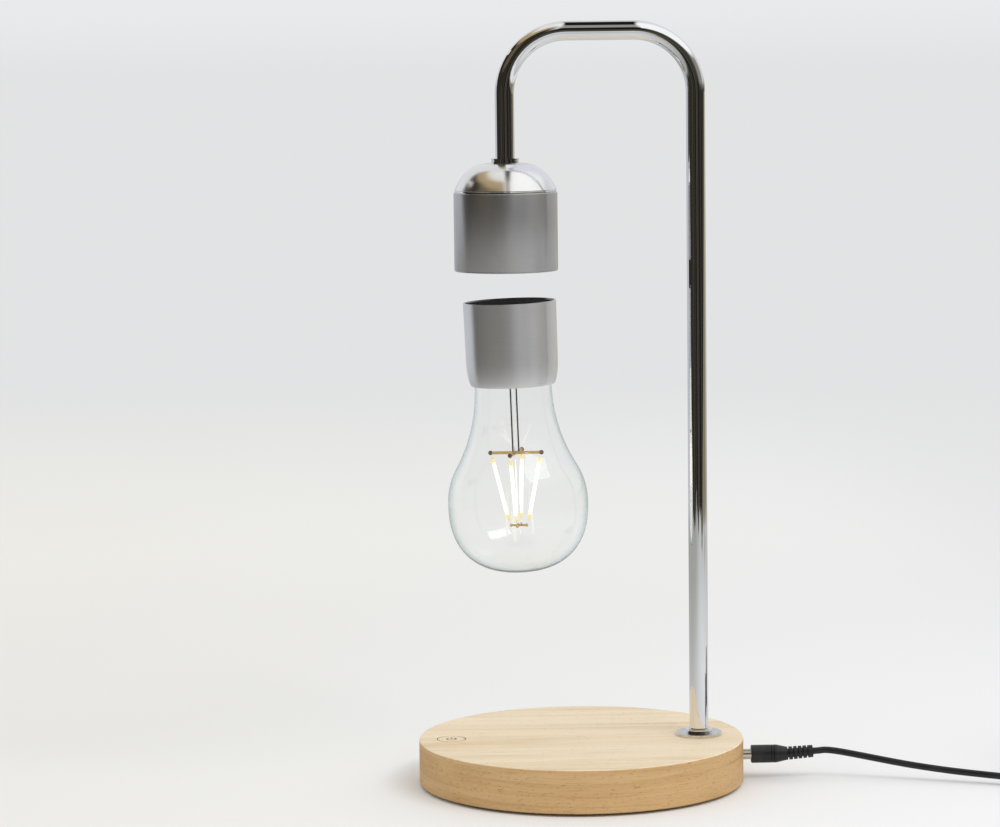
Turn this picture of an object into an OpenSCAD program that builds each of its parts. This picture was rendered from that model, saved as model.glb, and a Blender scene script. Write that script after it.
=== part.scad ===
// Levitating bulb lamp: a round wooden base, a bent tube arm, a magnet head and a floating bulb.
// Millimetres, +Z up, origin on the table under the middle of the base.
// The arm bends in the XZ plane: the power socket is on the +X side, the touch mark on the -X side.

/* [Base] */
// Diameter of the wooden base
base_d = 171; // [150:1:200]
// Height of the wood
base_h = 22.8; // [22:0.2:28]
// Wood left over the pocket
base_roof = 5; // [4:0.2:6]
// Wood left around the pocket
base_wall = 7; // [6:0.5:9]
// Radius of the broken edges of the wood
edge_r = 0.8; // [0.3:0.1:1.5]
// Thickness of the bottom cover
cover_t = 2.4; // [2:0.1:3]
// Width of the ledge that the cover lies against
cover_ledge = 3; // [2:0.2:4]
// Diameter of the wooden screw bosses in the pocket
boss_d = 12; // [10:0.5:14]
// How far the feet stand out of the cover
foot_proud = 1.5; // [1:0.1:3]
// Diameter of a foot
foot_d = 12; // [9:0.5:14]
// Depth of the seat that a foot is glued into
foot_seat = 0.5; // [0.3:0.1:0.8]
// Distance of the feet from the edge of the wood
foot_in = 23; // [12:1:35]

/* [Touch mark] */
// Distance of the touch mark from the edge of the wood
mark_in = 17; // [15:0.5:25]
// Diameter of the engraved ring
mark_d = 15.5; // [12:0.5:16]
// Width of the engraved line
mark_line = 0.5; // [0.3:0.1:0.8]
// Depth of the engraving
mark_deep = 0.4; // [0.2:0.1:0.8]
// Diameter of the sensing plate under the mark
plate_d = 14; // [10:0.5:15]
// Thickness of the sensing plate
plate_t = 0.6; // [0.4:0.1:1]
// Wood left over the sensing plate
plate_roof = 2; // [1.5:0.1:3]

/* [Arm] */
// Outside diameter of the tube
tube_d = 10; // [9:0.5:10.5]
// Wall of the tube
tube_wall = 1; // [0.8:0.1:1.2]
// Distance of the riser from the edge of the wood
riser_in = 23; // [21:0.1:27]
// Distance of the short leg from the riser
arm_reach = 99.2; // [80:0.1:110]
// Radius of the two bends, at the middle of the tube
bend_r = 32; // [24:1:36]
// Height of the arm above the table
arm_h = 400; // [330:1:480]
// Diameter of the foot washer on the wood
washer_d = 24; // [20:0.5:28]
// Thickness of the foot washer
washer_t = 1.6; // [0.8:0.1:2.4]
// Diameter of the foot ring
foot_ring_d = 14; // [13:0.5:18]
// Height of the foot ring
foot_ring_h = 2; // [1.8:0.1:4]
// Width across flats of the tube nuts
nut_flats = 14; // [13.5:0.1:15]
// Height of the tube nuts
nut_h = 5; // [4:0.5:6]
// Diameter of the inner washer
lock_d = 17; // [15:0.5:17]
// Thickness of the inner washer
lock_t = 1.2; // [0.8:0.1:1.6]

/* [Head] */
// Distance of the lower edge of the head below the top of the arm
head_drop = 128.7; // [105:0.1:180]
// Diameter of the sleeve at the top
sleeve_d = 54; // [52:0.5:58]
// Diameter of the sleeve at the bottom
sleeve_low_d = 52.6; // [51.5:0.1:54]
// Height of the sleeve
sleeve_h = 39.6; // [38:0.2:44]
// Wall of the sleeve
sleeve_wall = 1; // [0.8:0.1:1.4]
// Height of the trim ring
trim_h = 1.5; // [1.2:0.1:2.5]
// Diameter of the dome at its rim
dome_d = 53; // [51.5:0.5:54]
// Height of the full dome curve
dome_rise = 15.3; // [14.5:0.1:18]
// Wall of the dome
dome_wall = 1; // [0.8:0.1:1.4]
// Diameter of the collar on the dome
collar_d = 14.4; // [13:0.2:16]
// Height of the collar
collar_h = 2.4; // [2:0.1:4]
// Thickness of the closing disc
disc_t = 2; // [1.5:0.1:3]
// How far the closing disc lies above the lower edge
disc_recess = 1.2; // [0.8:0.1:2]

/* [Magnet coils] */
// Diameter of the iron core
core_d = 10; // [8:0.5:12]
// Wall of the bobbin
bobbin_wall = 1.2; // [1:0.1:2]
// Outside diameter of the bobbin flanges
bobbin_d = 40; // [36:0.5:42]
// Height of the bobbin
bobbin_h = 24; // [18:0.5:24]
// Outside diameter of the power coil
power_coil_d = 44; // [38:0.5:46]
// Inside diameter of the power coil
power_coil_bore = 22; // [20:0.5:26]
// Thickness of the flat power coils
power_coil_t = 1.4; // [1:0.1:2]

/* [Bulb] */
// Gap between the head and the resting bulb
float_gap = 16; // [10:0.5:22]
// Lean of the resting bulb, its lower end towards the riser
bulb_lean = 1.8; // [0:0.1:3]
// Sideways place of the resting bulb from the head's middle
bulb_aside = 1.7; // [0:0.1:2]
// Diameter of the bulb cap at its rim
cap_d = 48.6; // [47.5:0.1:52]
// Diameter of the bulb cap where its shoulder starts
cap_low_d = 48; // [47:0.1:52]
// Height of the bulb cap
cap_h = 43.7; // [42:0.1:50]
// Height of the rounded shoulder
shoulder_h = 14.3; // [10:0.1:16]
// Wall of the bulb cap
cap_wall = 0.8; // [0.6:0.1:1]
// Depth of the lid below the rim
lid_recess = 0.8; // [0.5:0.1:1.5]
// Thickness of the lid
lid_t = 1.4; // [1:0.1:2]
// Diameter of the magnet
magnet_d = 16; // [12:0.5:17]
// Thickness of the magnet
magnet_t = 8; // [6:0.5:8.5]
// Free space around the magnet in its cup
magnet_play = 0.8; // [0.8:0.05:1]
// Wall of the magnet cup
cup_wall = 1.2; // [1:0.1:1.6]
// Diameter of the glass neck
neck_d = 40.2; // [38:0.1:41]
// Diameter of the glass ball
glass_d = 73.4; // [66:0.1:76]
// Length of the bulb from rim to tip
bulb_len = 142.1; // [136:0.1:150]
// Radius of the curve between neck and ball
flare_r = 84; // [60:1:100]
// Wall of the glass
glass_wall = 1; // [0.8:0.1:1.3]

/* [Filaments] */
// Depth of the upper cross below the rim
cross_deep = 79.5; // [76:0.5:82]
// Length of the arms of the upper cross
cross_r = 14.5; // [12:0.5:15]
// Depth of the lower cross below the rim
hub_deep = 117.8; // [114:0.5:121]
// Length of the arms of the lower cross
hub_r = 4.6; // [4:0.2:6]
// Turn of the crosses about the bulb
cross_turn = -15.5; // [-45:0.5:45]
// Thickness of a filament
filament_d = 1.8; // [1.4:0.1:2.2]
// Diameter of the glass rod
rod_d = 2; // [1.6:0.1:2.2]
// Diameter of the two supply wires
wire_d = 0.8; // [0.6:0.1:1]
// Free space between the glass rod and a supply wire
wire_play = 0.2; // [0.2:0.1:0.6]

/* [Power socket and plug] */
// Height of the socket above the table
jack_z = 13.2; // [12.8:0.1:13.6]
// Outside diameter of the threaded socket nose
nose_d = 7.8; // [7.8:0.1:8.4]
// Bore of the socket
jack_bore = 6.2; // [6.1:0.1:6.4]
// Outside diameter of the plug's metal barrel
barrel_d = 5.5; // [5.4:0.1:5.6]
// Bore of the plug's metal barrel
barrel_bore = 2.5; // [2.5:0.1:2.7]
// Diameter of the centre pin of the socket
pin_d = 2; // [1.8:0.1:2.1]
// Length of barrel that shows between wood and plug
barrel_shown = 4.6; // [4:0.1:7]
// Depth of the barrel in the socket, from the wood's edge
barrel_in = 9; // [8.4:0.1:9.4]
// Diameter of the plug body
plug_d = 9.5; // [9:0.1:10.5]
// Length of the plug body
plug_len = 13.3; // [12:0.1:16]
// Length of the taper behind the plug body
taper_len = 5.4; // [4:0.1:7]
// Length of the strain relief
relief_len = 14; // [12:0.5:15]
// Diameter of the strain relief where it starts
relief_d = 7.1; // [6.6:0.1:7.6]
// Diameter of the strain relief where it ends
relief_end_d = 6.5; // [5.6:0.1:6.5]

/* [Cord] */
// Diameter of the cord
cord_d = 3.5; // [3.2:0.1:3.6]
// Mean radius of the coil
coil_r = 21; // [20:0.5:24]
// Full turns of the coil
coil_rounds = 10; // [6:1:12]
// Layers of the coil, an even number
coil_layers = 4; // [2:2:4]
// Step from turn to turn in a layer
coil_step = 4.1; // [4.05:0.05:4.3]
// Step from layer to layer
layer_step = 4; // [3.95:0.05:4.2]
// Thickness of the tie strap
tie_t = 0.6; // [0.4:0.1:0.6]
// Width of the tie strap
tie_w = 6; // [4:0.5:10]

/* [Wall adapter] */
// Width of the adapter
adapter_w = 40; // [36:1:46]
// Length of the adapter
adapter_len = 58; // [52:1:70]
// Thickness of the adapter
adapter_t = 28; // [26:0.5:32]
// Wall of the adapter shells
adapter_wall = 2; // [1.6:0.1:2.5]
// Length of the blades outside the adapter
blade_len = 16.5; // [15:0.5:18]
// Distance between the blades
blade_gap = 12.7; // [12:0.1:14]

/* [Hidden] */
$fn = 72;

// Clearances
fit = 0.1;      // pieces of one body that slide together when built
loose = 0.3;    // pieces that stay clear of each other
cut = 1;        // how far a cutting shape runs past the face that it cuts

// Base heights and radii
base_r = base_d / 2;
wood_z = foot_proud;
wood_top = wood_z + base_h;
roof_z = wood_top - base_roof;
pocket_r = base_r - base_wall;
ledge_r = pocket_r + cover_ledge;
cover_top = wood_z + cover_t;
boss_root = 2;  // how far a boss runs into the pocket's wall
boss_at = pocket_r - boss_d / 2 + boss_root;
boss_angles = [45, 135, 225, 315];
foot_angles = [0, 90, 180, 270];
foot_out = base_r - foot_in;
mark_out = base_r - mark_in;

// The sign in the touch mark: a broken ring and a bar
sign_d = 5.6;
sign_line = 0.7;
sign_gap = [2.2, 2.4];
sign_gap_y = 2.4;
sign_bar = [0.7, 2.8];
sign_bar_y = 2.2;

// Wood screws of the cover
cover_screw_d = 3;
cover_head_d = 5.6;
cover_head_h = 1.6;
cover_screw_len = 12;
cover_pilot_d = cover_screw_d + 2 * fit;
cover_slot = [3.6, 0.7, 0.8];  // length, width and depth

// Main board on posts of the cover
board_size = [80, 44, 1.6];
board_x = -10;
post_h = 4.2;
post_d = 6;
post_at = [34, 17];
board_z = cover_top + post_h;
board_top = board_z + board_size[2];
board_screw_d = 2;
board_head_d = 4.4;
board_head_h = 1.4;
board_slot = [3, 0.6, 0.7];
connector = [7, 9, 6];
connector_mouth = [3, 7, 2];
connector_in = 1;  // from the board's end
connector_x = board_x + board_size[0] / 2 - connector[0] - connector_in;
connector_z = board_top + connector[2] / 2;
touch_connector_x = board_x - board_size[0] / 2 + connector_in;
head_plug_y = 9;
jack_plug_y = -9;

// Chips, each with its place on the board and its size
chips = [
    [[-14, 6, 0], [9, 9, 1.4]], [[-14, -9, 0], [6, 5, 1.5]],
    [[12, -13, 0], [10, 4.5, 3]], [[2, 13, 0], [5, 4, 1.5]]
];
// Capacitors, each with its place, diameter and height
capacitors = [[[2, -3, 0], 8, 7.6], [[12, -3, 0], 8, 7.6], [[20, 4, 0], 6, 6.6], [[-25, -12, 0], 5, 6]];

// Touch plate
plate_z = wood_top - plate_roof - plate_t;
lead_d = 1.2;

// Tube arm
riser_x = base_r - riser_in;
leg_x = arm_reach - riser_x;
arch_z = arm_h - tube_d / 2;
tube_bore = tube_d - 2 * tube_wall;
tube_hole_d = tube_d + 2 * fit;
tube_past = 1;  // thread that stands out of a nut
tube_low_z = roof_z - lock_t - nut_h - tube_past;
foot_ring_z = wood_top + washer_t;
foot_groove = [0.6, 0.42];  // depth and width
foot_groove_z = 0.75;
foot_step = [0.7, 0.39];
collar_groove = [0.5, 0.34];
collar_groove_z = 1.08;

// Head heights
head_z = arm_h - head_drop;
sleeve_top = head_z + sleeve_h;
dome_z = sleeve_top + trim_h;
sleeve_edge = 0.3;
dome_rx = dome_d / 2;
dome_top = dome_z + dome_rise * sqrt(1 - pow(collar_d / dome_d, 2));
dome_seat = 0.2;  // extra wall where the nut bears
dome_ceiling = dome_top - dome_wall - dome_seat;
nut_room_r = nut_flats / cos(30) / 2 + 2 * loose;
leg_end = dome_ceiling - nut_h - tube_past;
disc_z = head_z + disc_recess;
disc_top = disc_z + disc_t;
sensor_board_t = 1;
sensor = [4, 3, 0.9];
sensor_play = 2;
bobbin_z = disc_top + max(power_coil_t, sensor_board_t + sensor[2]) + loose;
bobbin_top = bobbin_z + bobbin_h;
winding_in = 1;  // from the flange's rim
head_board_d = bobbin_d + 4;
head_board_t = 1.6;
spigot_h = 5;
spigot_wall = 1.2;
dome_spigot_h = 2.4;
dome_spigot_play = 0.8;
trim_lip = [0.6, 0.6];  // how far the dome overhangs the ring, and the height of the ring's step
head_cable_d = 3.4;
head_bar_x = 9;
head_bar = [5, 8, 3.4];
head_bar_top = bobbin_top + head_board_t + head_bar[2];
head_chips = [[[head_bar_x, 0, 0], head_bar + [0, 0, fit]], [[-8, 5, 0], [6, 6, 1.5]]];
head_cans = [[[-8, -7, 0], 6, 4]];

// Bulb depths below its rim, and radii
cap_r = cap_d / 2;
lid_deep = lid_recess;
lid_low = lid_deep + lid_t;
magnet_top_play = 1.8;
magnet_deep = lid_low + magnet_t / 2 + magnet_top_play;
cup_r = magnet_d / 2 + magnet_play + cup_wall;
cup_deep = lid_low + loose;
cup_floor = magnet_deep + magnet_t / 2 + magnet_play;
cup_low = cup_floor + cup_wall;
receiver_board_deep = cup_low + loose;
receiver_board_t = 1.6;
receiver_chips = [[[11, 0, 0], [6, 6, 2]], [[0, -12, 0], [4, 3, 1.2]]];
receiver_cans = [[[-11, -3, 0], 5, 3]];
neck_r = neck_d / 2;
neck_top_deep = 27;
seal_h = 4;
seal_drop = 1;  // from the neck's top
lip_r = neck_r + loose + cap_wall;
ball_r = glass_d / 2;
ball_deep = bulb_len - ball_r;
flare_deep = ball_deep - sqrt(pow(ball_r + flare_r, 2) - pow(neck_r + flare_r, 2));
flare_angle = atan2(ball_deep - flare_deep, neck_r + flare_r);
stem_deep = 36;
stem_t = 1.2;
rim_z = head_z - float_gap;
bulb_x = bulb_aside - leg_x;

// Filaments: radius and depth of each end, then the metal ends and hooks
filaments = 4;
filament_top_at = [-1.7, 3];
filament_low_at = [1, -3.6];
filament_top = [cross_r, cross_deep] + filament_top_at;
filament_low = [hub_r, hub_deep] + filament_low_at;
cross_h = 1.5;
cross_w = 1.1;
cross_hub_wall = 0.8;
cross_bead_d = 2.4;
cross_bead_in = 0.8;
hub_h = 1;
hub_w = 0.9;
hub_bead_d = 1.7;
hub_bead_in = 0.5;
hook_d = 0.5;
hook_top = 1;
hook_low = 1.6;
cap_bead_d = 2;
cap_bead_len = 2.4;
wire_gap = rod_d + wire_d + 2 * wire_play;

// Socket
jack_recess = 1;
jack_face = base_r - jack_recess;
nose_len = 6.3;
jack_front = jack_face - nose_len;
jack_depth = 5;
jack_back = jack_front - jack_depth;
jack_size = [jack_depth, 10, 10];
jack_wall = 1.2;
jack_floor = jack_back + jack_wall;
jack_nut_d = 12;
jack_nut_t = 1.8;
jack_nut_x = jack_face - jack_nut_t;
jack_notch = [1.6, 2];
pin_tail = 1;
pin_short = 2;  // from the socket's face

// Leads from the socket to the main board
lead_y = 3;
lead_z = jack_z - 3.6;
lead_step = 1.5;
lead_pair_y = 1.3;
lead_bend = [8, -4, -1];
lead_low = [18, 1, -1.4];
lead_reach = [8, 3, -0.8];
lead_plug_z = 1;

// Plug
barrel_tip = base_r - barrel_in;
plug_x = base_r + barrel_shown;
plug_end = plug_x + plug_len + taper_len;
barrel_root = 3;
barrel_bore_past = 2;
plug_edge = 0.3;
plug_grooves = [2.8, 1.4];  // from the plug body's rear end
groove_deep = 0.3;
groove_half = 0.2;
relief_tilt = 4;
relief_tilt_over = relief_d * tan(relief_tilt);
relief_ribs = 5;
relief_step = 2.5;
relief_cut_w = 0.9;
relief_cut_deep = 0.9;
relief_first = 0.6;

// Coil
cord_r = cord_d / 2;
coil_low_z = cord_r + tie_t + loose;
coil_turns = coil_rounds + 0.25;
layer_turns = coil_turns / coil_layers;
coil_half_w = coil_step * layer_turns / 2;
coil_out_r = coil_r + coil_half_w;
coil_in_r = coil_r - coil_half_w;
coil_x = base_r + 179.5;
coil_y = -10;
coil_rings = 24;
climb = 0.5;
coil_top_z = coil_low_z + (coil_layers - 1) * layer_step;
coil_tail = 17;
tie_angle = 150;
tie_corner = 2;
tie_lock = 0.6;  // share of the bundle's width

// Cord route from the strain relief to the coil: the middle line of the cord
relief_out = [plug_end + relief_len * cos(relief_tilt), 0, jack_z + relief_len * sin(relief_tilt)];
cord_route = [
    relief_out,
    relief_out + cord_d * [cos(relief_tilt), 0, sin(relief_tilt)],
    relief_out + 2 * cord_d * [cos(relief_tilt), 0, sin(relief_tilt)],
    [135, -0.9, 14.2], [141, -2.2, 13.3], [148, -3.8, 12.1], [155, -5.6, 10.9], [163, -7.9, 9.6],
    [171, -10.4, 8.4], [179, -13, 7.4], [187, -15.9, 6.6], [195, -18.8, 5.9], [203, -21.9, 5.4],
    [211, -25.2, 5], [219, -28.4, 4.6], [227, -31.6, 4.1], [235, -34.1, 3.4], [243, -35.2, 2.8],
    [251, coil_y - coil_out_r, coil_low_z], [255, coil_y - coil_out_r, coil_low_z],
    [259, coil_y - coil_out_r, coil_low_z]
];

// Adapter
adapter_x = coil_x + coil_out_r;
adapter_relief_len = 14;
adapter_y = coil_y + coil_tail + adapter_relief_len;
adapter_split = adapter_t / 2;
adapter_corner = 4;
adapter_relief_d = 8;
adapter_neck_d = 6;
adapter_seat = 0.5;
adapter_board_play = 0.5;
adapter_board_t = 1.6;
adapter_chips = [[[0, -8, 0], [18, 16, 12]]];
adapter_cans = [[[-10, 8, 0], 9, 12], [[8, 6, 0], 7, 10]];
blade = [1.5, 6.3];
blade_in = 5;
blade_end = 16;  // from the adapter's far end
blade_flange = [4, 9.3, 1.5];

// Helpers

// Points of an arc in a plane, from angle a to angle b
function arc(middle, r, a, b, steps = 12) =
    [for (i = [0 : steps]) middle + r * [cos(a + (b - a) * i / steps), sin(a + (b - a) * i / steps)]];

function unit(v) = v / norm(v);

// Direction of a route at point i
function heading(p, i) =
    i == 0 ? unit(p[1] - p[0])
    : i == len(p) - 1 ? unit(p[i] - p[i - 1])
    : unit(unit(p[i + 1] - p[i]) + unit(p[i] - p[i - 1]));

// A vector made square to a heading
function squared(v, h) = unit(v - (v * h) * h);

// Side vectors carried along a route without twist
function sides_of(p, first) =
    [for (i = 0, s = squared(first, heading(p, 0)); i < len(p);
        i = i + 1, s = i < len(p) ? squared(s, heading(p, i)) : s) s];

// Length of a route
function route_length(p, i = 1) = i >= len(p) ? 0 : norm(p[i] - p[i - 1]) + route_length(p, i + 1);

// Points put between the route's own, on a smooth curve through them
function curve_point(a, b, c, d, t) =
    0.5 * (2 * b + (c - a) * t + (2 * a - 5 * b + 4 * c - d) * t * t + (3 * b - a - 3 * c + d) * t * t * t);
function smooth(p, n) =
    [for (i = [0 : len(p) - 2], k = [0 : n - 1])
        curve_point(p[max(i - 1, 0)], p[i], p[i + 1], p[min(i + 2, len(p) - 1)], k / n),
     p[len(p) - 1]];

// A round tube along a route, as one closed body
module swept(p, r, n = 8, first = [0, 0, 1]) {
    s = sides_of(p, first);
    rings = len(p);
    points = [for (i = [0 : rings - 1]) let (h = heading(p, i), w = cross(h, s[i]))
        for (k = [0 : n - 1]) p[i] + r * (cos(360 * (k + 0.5) / n) * s[i] + sin(360 * (k + 0.5) / n) * w)];
    walls = [for (i = [0 : rings - 2], k = [0 : n - 1])
        let (a = i * n + k, b = i * n + (k + 1) % n)
        for (face = [[a, a + n, b + n], [a, b + n, b]]) face];
    start = [for (k = [1 : n - 2]) [0, k, k + 1]];
    last = (rings - 1) * n;
    end = [for (k = [1 : n - 2]) [last, last + k + 1, last + k]];
    polyhedron(points, concat(walls, start, end), convexity = 10);
}

module ring(outer_d, inner_d, h) {
    difference() {
        cylinder(d = outer_d, h = h);
        translate([0, 0, -cut]) cylinder(d = inner_d, h = h + 2 * cut);
    }
}

module hex_nut(bore_d) {
    difference() {
        rotate([0, 0, 30]) cylinder(d = nut_flats / cos(30), h = nut_h, $fn = 6);
        translate([0, 0, -cut]) cylinder(d = bore_d, h = nut_h + 2 * cut);
    }
}

module along_x() rotate([0, 90, 0]) children();
module along_y() rotate([-90, 0, 0]) children();
module around(angles, r) for (a = angles) rotate([0, 0, a]) translate([r, 0, 0]) children();
module centred_box(size) translate([-size[0] / 2, -size[1] / 2, 0]) cube(size);
module rounded_box(size, r) {
    x = size[0] / 2 - r;
    y = size[1] / 2 - r;
    outline = concat(arc([x, y], r, 0, 90, 6), arc([-x, y], r, 90, 180, 6),
        arc([-x, -y], r, 180, 270, 6), arc([x, -y], r, 270, 360, 6));
    linear_extrude(size[2]) polygon(outline);
}

// Boxes and round cans that stand on a board, each at its place
module boxes(list) for (b = list) translate(b[0]) centred_box(b[1]);
module cans(list) for (c = list) translate(c[0]) cylinder(d = c[1], h = c[2]);

// Base

module wood_blank() {
    outline = concat([[0, wood_z]], arc([base_r - edge_r, wood_z + edge_r], edge_r, -90, 0, 6),
        arc([base_r - edge_r, wood_top - edge_r], edge_r, 0, 90, 6), [[0, wood_top]]);
    rotate_extrude($fn = 180) polygon(outline);
}

module pocket() {
    translate([0, 0, cover_top - cut]) linear_extrude(roof_z - cover_top + cut) difference() {
        circle(r = pocket_r, $fn = 180);
        around(boss_angles, boss_at) circle(d = boss_d);
    }
}

// A plain ring with a broken inner ring and a bar: a common on and off sign
module touch_mark() {
    h = mark_deep + cut;
    translate([-mark_out, 0, wood_top - mark_deep]) {
        ring(mark_d, mark_d - 2 * mark_line, h);
        difference() {
            ring(sign_d, sign_d - 2 * sign_line, h);
            translate([0, sign_gap_y, 0]) centred_box([sign_gap[0], sign_gap[1], 2 * h]);
        }
        translate([0, sign_bar_y, 0]) centred_box([sign_bar[0], sign_bar[1], h]);
    }
}

module base_body() color("burlywood") difference() {
    wood_blank();
    translate([0, 0, wood_z - cut]) cylinder(r = ledge_r, h = cover_t + cut, $fn = 180);
    pocket();
    translate([riser_x, 0, roof_z - cut]) cylinder(d = tube_hole_d, h = base_roof + 2 * cut);
    translate([-mark_out, 0, roof_z - cut])
        cylinder(d = plate_d + 2 * fit, h = plate_z + plate_t - roof_z + cut);
    translate([pocket_r - 2 * cut, 0, jack_z]) along_x()
        cylinder(d = nose_d + 2 * fit, h = base_wall + 4 * cut);
    translate([jack_nut_x, 0, jack_z]) along_x() cylinder(d = jack_nut_d + 2 * loose, h = base_wall);
    around(boss_angles, boss_at) translate([0, 0, wood_z])
        cylinder(d = cover_pilot_d, h = cover_screw_len + cut);
    touch_mark();
}

module base_cover() color("dimgray") difference() {
    union() {
        translate([0, 0, wood_z]) cylinder(r = ledge_r - fit, h = cover_t - 2 * fit, $fn = 180);
        board_posts() cylinder(d = post_d, h = board_z - wood_z - cut);
    }
    board_posts() translate([0, 0, cut]) cylinder(d = board_screw_d + 2 * fit, h = post_h + cover_t);
    around(boss_angles, boss_at) translate([0, 0, wood_z - cut]) {
        cylinder(d = cover_pilot_d, h = cover_t + 2 * cut);
        cylinder(d = cover_head_d + 2 * fit, h = cover_head_h + cut);
    }
    around(foot_angles, foot_out) translate([0, 0, wood_z - cut])
        cylinder(d = foot_d + 2 * fit, h = foot_seat + cut);
}

module board_posts() {
    for (x = [-1, 1], y = [-1, 1])
        translate([board_x + x * post_at[0], y * post_at[1], wood_z + cut]) children();
}

module base_feet() color("black") around(foot_angles, foot_out) {
    cylinder(d = foot_d, h = foot_proud + foot_seat);
}

module cover_screws() color("silver") around(boss_angles, boss_at) translate([0, 0, wood_z]) difference() {
    union() {
        cylinder(d = cover_head_d, h = cover_head_h);
        cylinder(d = cover_screw_d, h = cover_screw_len);
    }
    for (turn = [0, 90]) rotate([0, 0, turn]) translate([0, 0, -cut])
        centred_box([cover_slot[0], cover_slot[1], cut + cover_slot[2]]);
}

// Electronics in the base

module main_board() color("darkgreen") difference() {
    translate([board_x, 0, board_z]) centred_box(board_size);
    board_posts() cylinder(d = board_screw_d + 4 * fit, h = board_top);
}

module board_screws() color("silver") board_posts() {
    translate([0, 0, board_top - wood_z - cut]) difference() {
        cylinder(d = board_head_d, h = board_head_h);
        translate([0, 0, board_head_h - board_slot[2]]) centred_box([board_slot[0], board_slot[1], cut]);
    }
    translate([0, 0, 2 * cut]) cylinder(d = board_screw_d, h = board_top - wood_z - 3 * cut);
}

module board_chips() color("black") translate([board_x, 0, board_top]) boxes(chips);

module board_capacitors() color("midnightblue") translate([board_x, 0, board_top]) cans(capacitors);

module socket_block(mouth) difference() {
    centred_box(connector);
    translate([mouth * connector[0] / 2, 0, connector[2] / 2]) centred_box(connector_mouth);
}

module board_connectors() color("ivory") translate([0, 0, board_top]) {
    translate([connector_x + connector[0] / 2, head_plug_y, 0]) socket_block(1);
    translate([connector_x + connector[0] / 2, jack_plug_y, 0]) socket_block(1);
    translate([touch_connector_x + connector[0] / 2, 0, 0]) socket_block(-1);
}

module touch_plate() color("orange") translate([-mark_out, 0, plate_z]) {
    cylinder(d = plate_d, h = plate_t);
}

touch_route = [
    [-mark_out, 0, plate_z], [-mark_out, 0, plate_z - 2], [1.6 - mark_out, 0, plate_z - 4.6],
    [touch_connector_x - 5, 0, connector_z + 1.4], [touch_connector_x - 2.4, 0, connector_z + 1],
    [touch_connector_x + 1, 0, connector_z + 1]
];

module touch_lead() color("yellow") swept(touch_route, lead_d / 2, 6, [1, 0, 0]);

// Power socket

module dc_jack() color("black") difference() {
    union() {
        translate([jack_back, -jack_size[1] / 2, jack_z - jack_size[2] / 2]) cube(jack_size);
        translate([jack_front - cut, 0, jack_z]) along_x() cylinder(d = nose_d, h = nose_len + cut);
    }
    translate([jack_floor, 0, jack_z]) along_x() cylinder(d = jack_bore, h = jack_depth + nose_len + cut);
    translate([jack_back - cut, 0, jack_z]) along_x() cylinder(d = pin_d + 2 * fit, h = 2 * cut + jack_wall);
}

module jack_pin() color("gold") {
    translate([jack_back - pin_tail, 0, jack_z]) along_x()
        cylinder(d = pin_d, h = jack_face - pin_short - jack_back + pin_tail);
}

module jack_nut() color("silver") translate([jack_nut_x, 0, jack_z]) along_x() difference() {
    cylinder(d = jack_nut_d, h = jack_nut_t);
    translate([0, 0, -cut]) cylinder(d = nose_d + 2 * fit, h = jack_nut_t + 2 * cut);
    for (side = [-1, 1]) translate([0, side * jack_nut_d / 2, -cut])
        centred_box([jack_notch[0], jack_notch[1], jack_nut_t + 2 * cut]);
}

connector_end = connector_x + connector[0];
function jack_lead_route(side) = let (pair_y = side * lead_pair_y) [
    [jack_back, side * lead_y, lead_z], [jack_back - lead_step, side * lead_y, lead_z],
    [jack_back - 2 * lead_step, side * lead_y, lead_z],
    [jack_back - lead_bend[0], pair_y + lead_bend[1], lead_z + lead_bend[2]],
    [jack_back - lead_low[0], pair_y + jack_plug_y + lead_low[1], lead_z + lead_low[2]],
    [connector_end + lead_reach[0], pair_y + jack_plug_y, connector_z - lead_plug_z],
    [connector_end + lead_reach[1], pair_y + jack_plug_y, connector_z + lead_plug_z],
    [connector_end + lead_reach[2], pair_y + jack_plug_y, connector_z + lead_plug_z]
];

module jack_leads() color("red") for (side = [-1, 1]) swept(smooth(jack_lead_route(side), 3), lead_d / 2, 6);

// Arm

module foot_washer() color("silver") translate([riser_x, 0, wood_top]) ring(washer_d, tube_hole_d, washer_t);

module foot_ring() color("silver") translate([riser_x, 0, foot_ring_z]) difference() {
    ring(foot_ring_d, tube_hole_d, foot_ring_h);
    translate([0, 0, foot_groove_z])
        ring(foot_ring_d + cut, foot_ring_d - 2 * foot_groove[0], foot_groove[1]);
    translate([0, 0, foot_ring_h - foot_step[1]])
        ring(foot_ring_d + cut, foot_ring_d - 2 * foot_step[0], cut);
}

module lock_washer() color("silver") translate([riser_x, 0, roof_z - lock_t]) {
    ring(lock_d, tube_hole_d, lock_t);
}

module tube_nut() color("silver") translate([riser_x, 0, roof_z - lock_t - nut_h]) hex_nut(tube_hole_d);

module quarter_bend(d) rotate([90, 0, 0]) rotate_extrude(angle = 90, $fn = 120) translate([bend_r, 0]) {
    circle(d = d);
}

// The arm's bent shape at any thickness: riser, two bends, bridge and leg, longer at both ends by more
module arm_shape(d, more = 0) {
    translate([riser_x, 0, tube_low_z - more]) cylinder(d = d, h = arch_z - bend_r - tube_low_z + more);
    translate([-leg_x, 0, arch_z - bend_r]) rotate([180, 0, 0])
        cylinder(d = d, h = arch_z - bend_r - leg_end + more);
    translate([bend_r - leg_x, 0, arch_z]) along_x() cylinder(d = d, h = riser_x + leg_x - 2 * bend_r);
    translate([riser_x - bend_r, 0, arch_z - bend_r]) quarter_bend(d);
    translate([bend_r - leg_x, 0, arch_z - bend_r]) mirror([1, 0, 0]) quarter_bend(d);
}

module arm_tube() color("silver") difference() {
    arm_shape(tube_d);
    arm_shape(tube_bore, cut);
}

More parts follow.
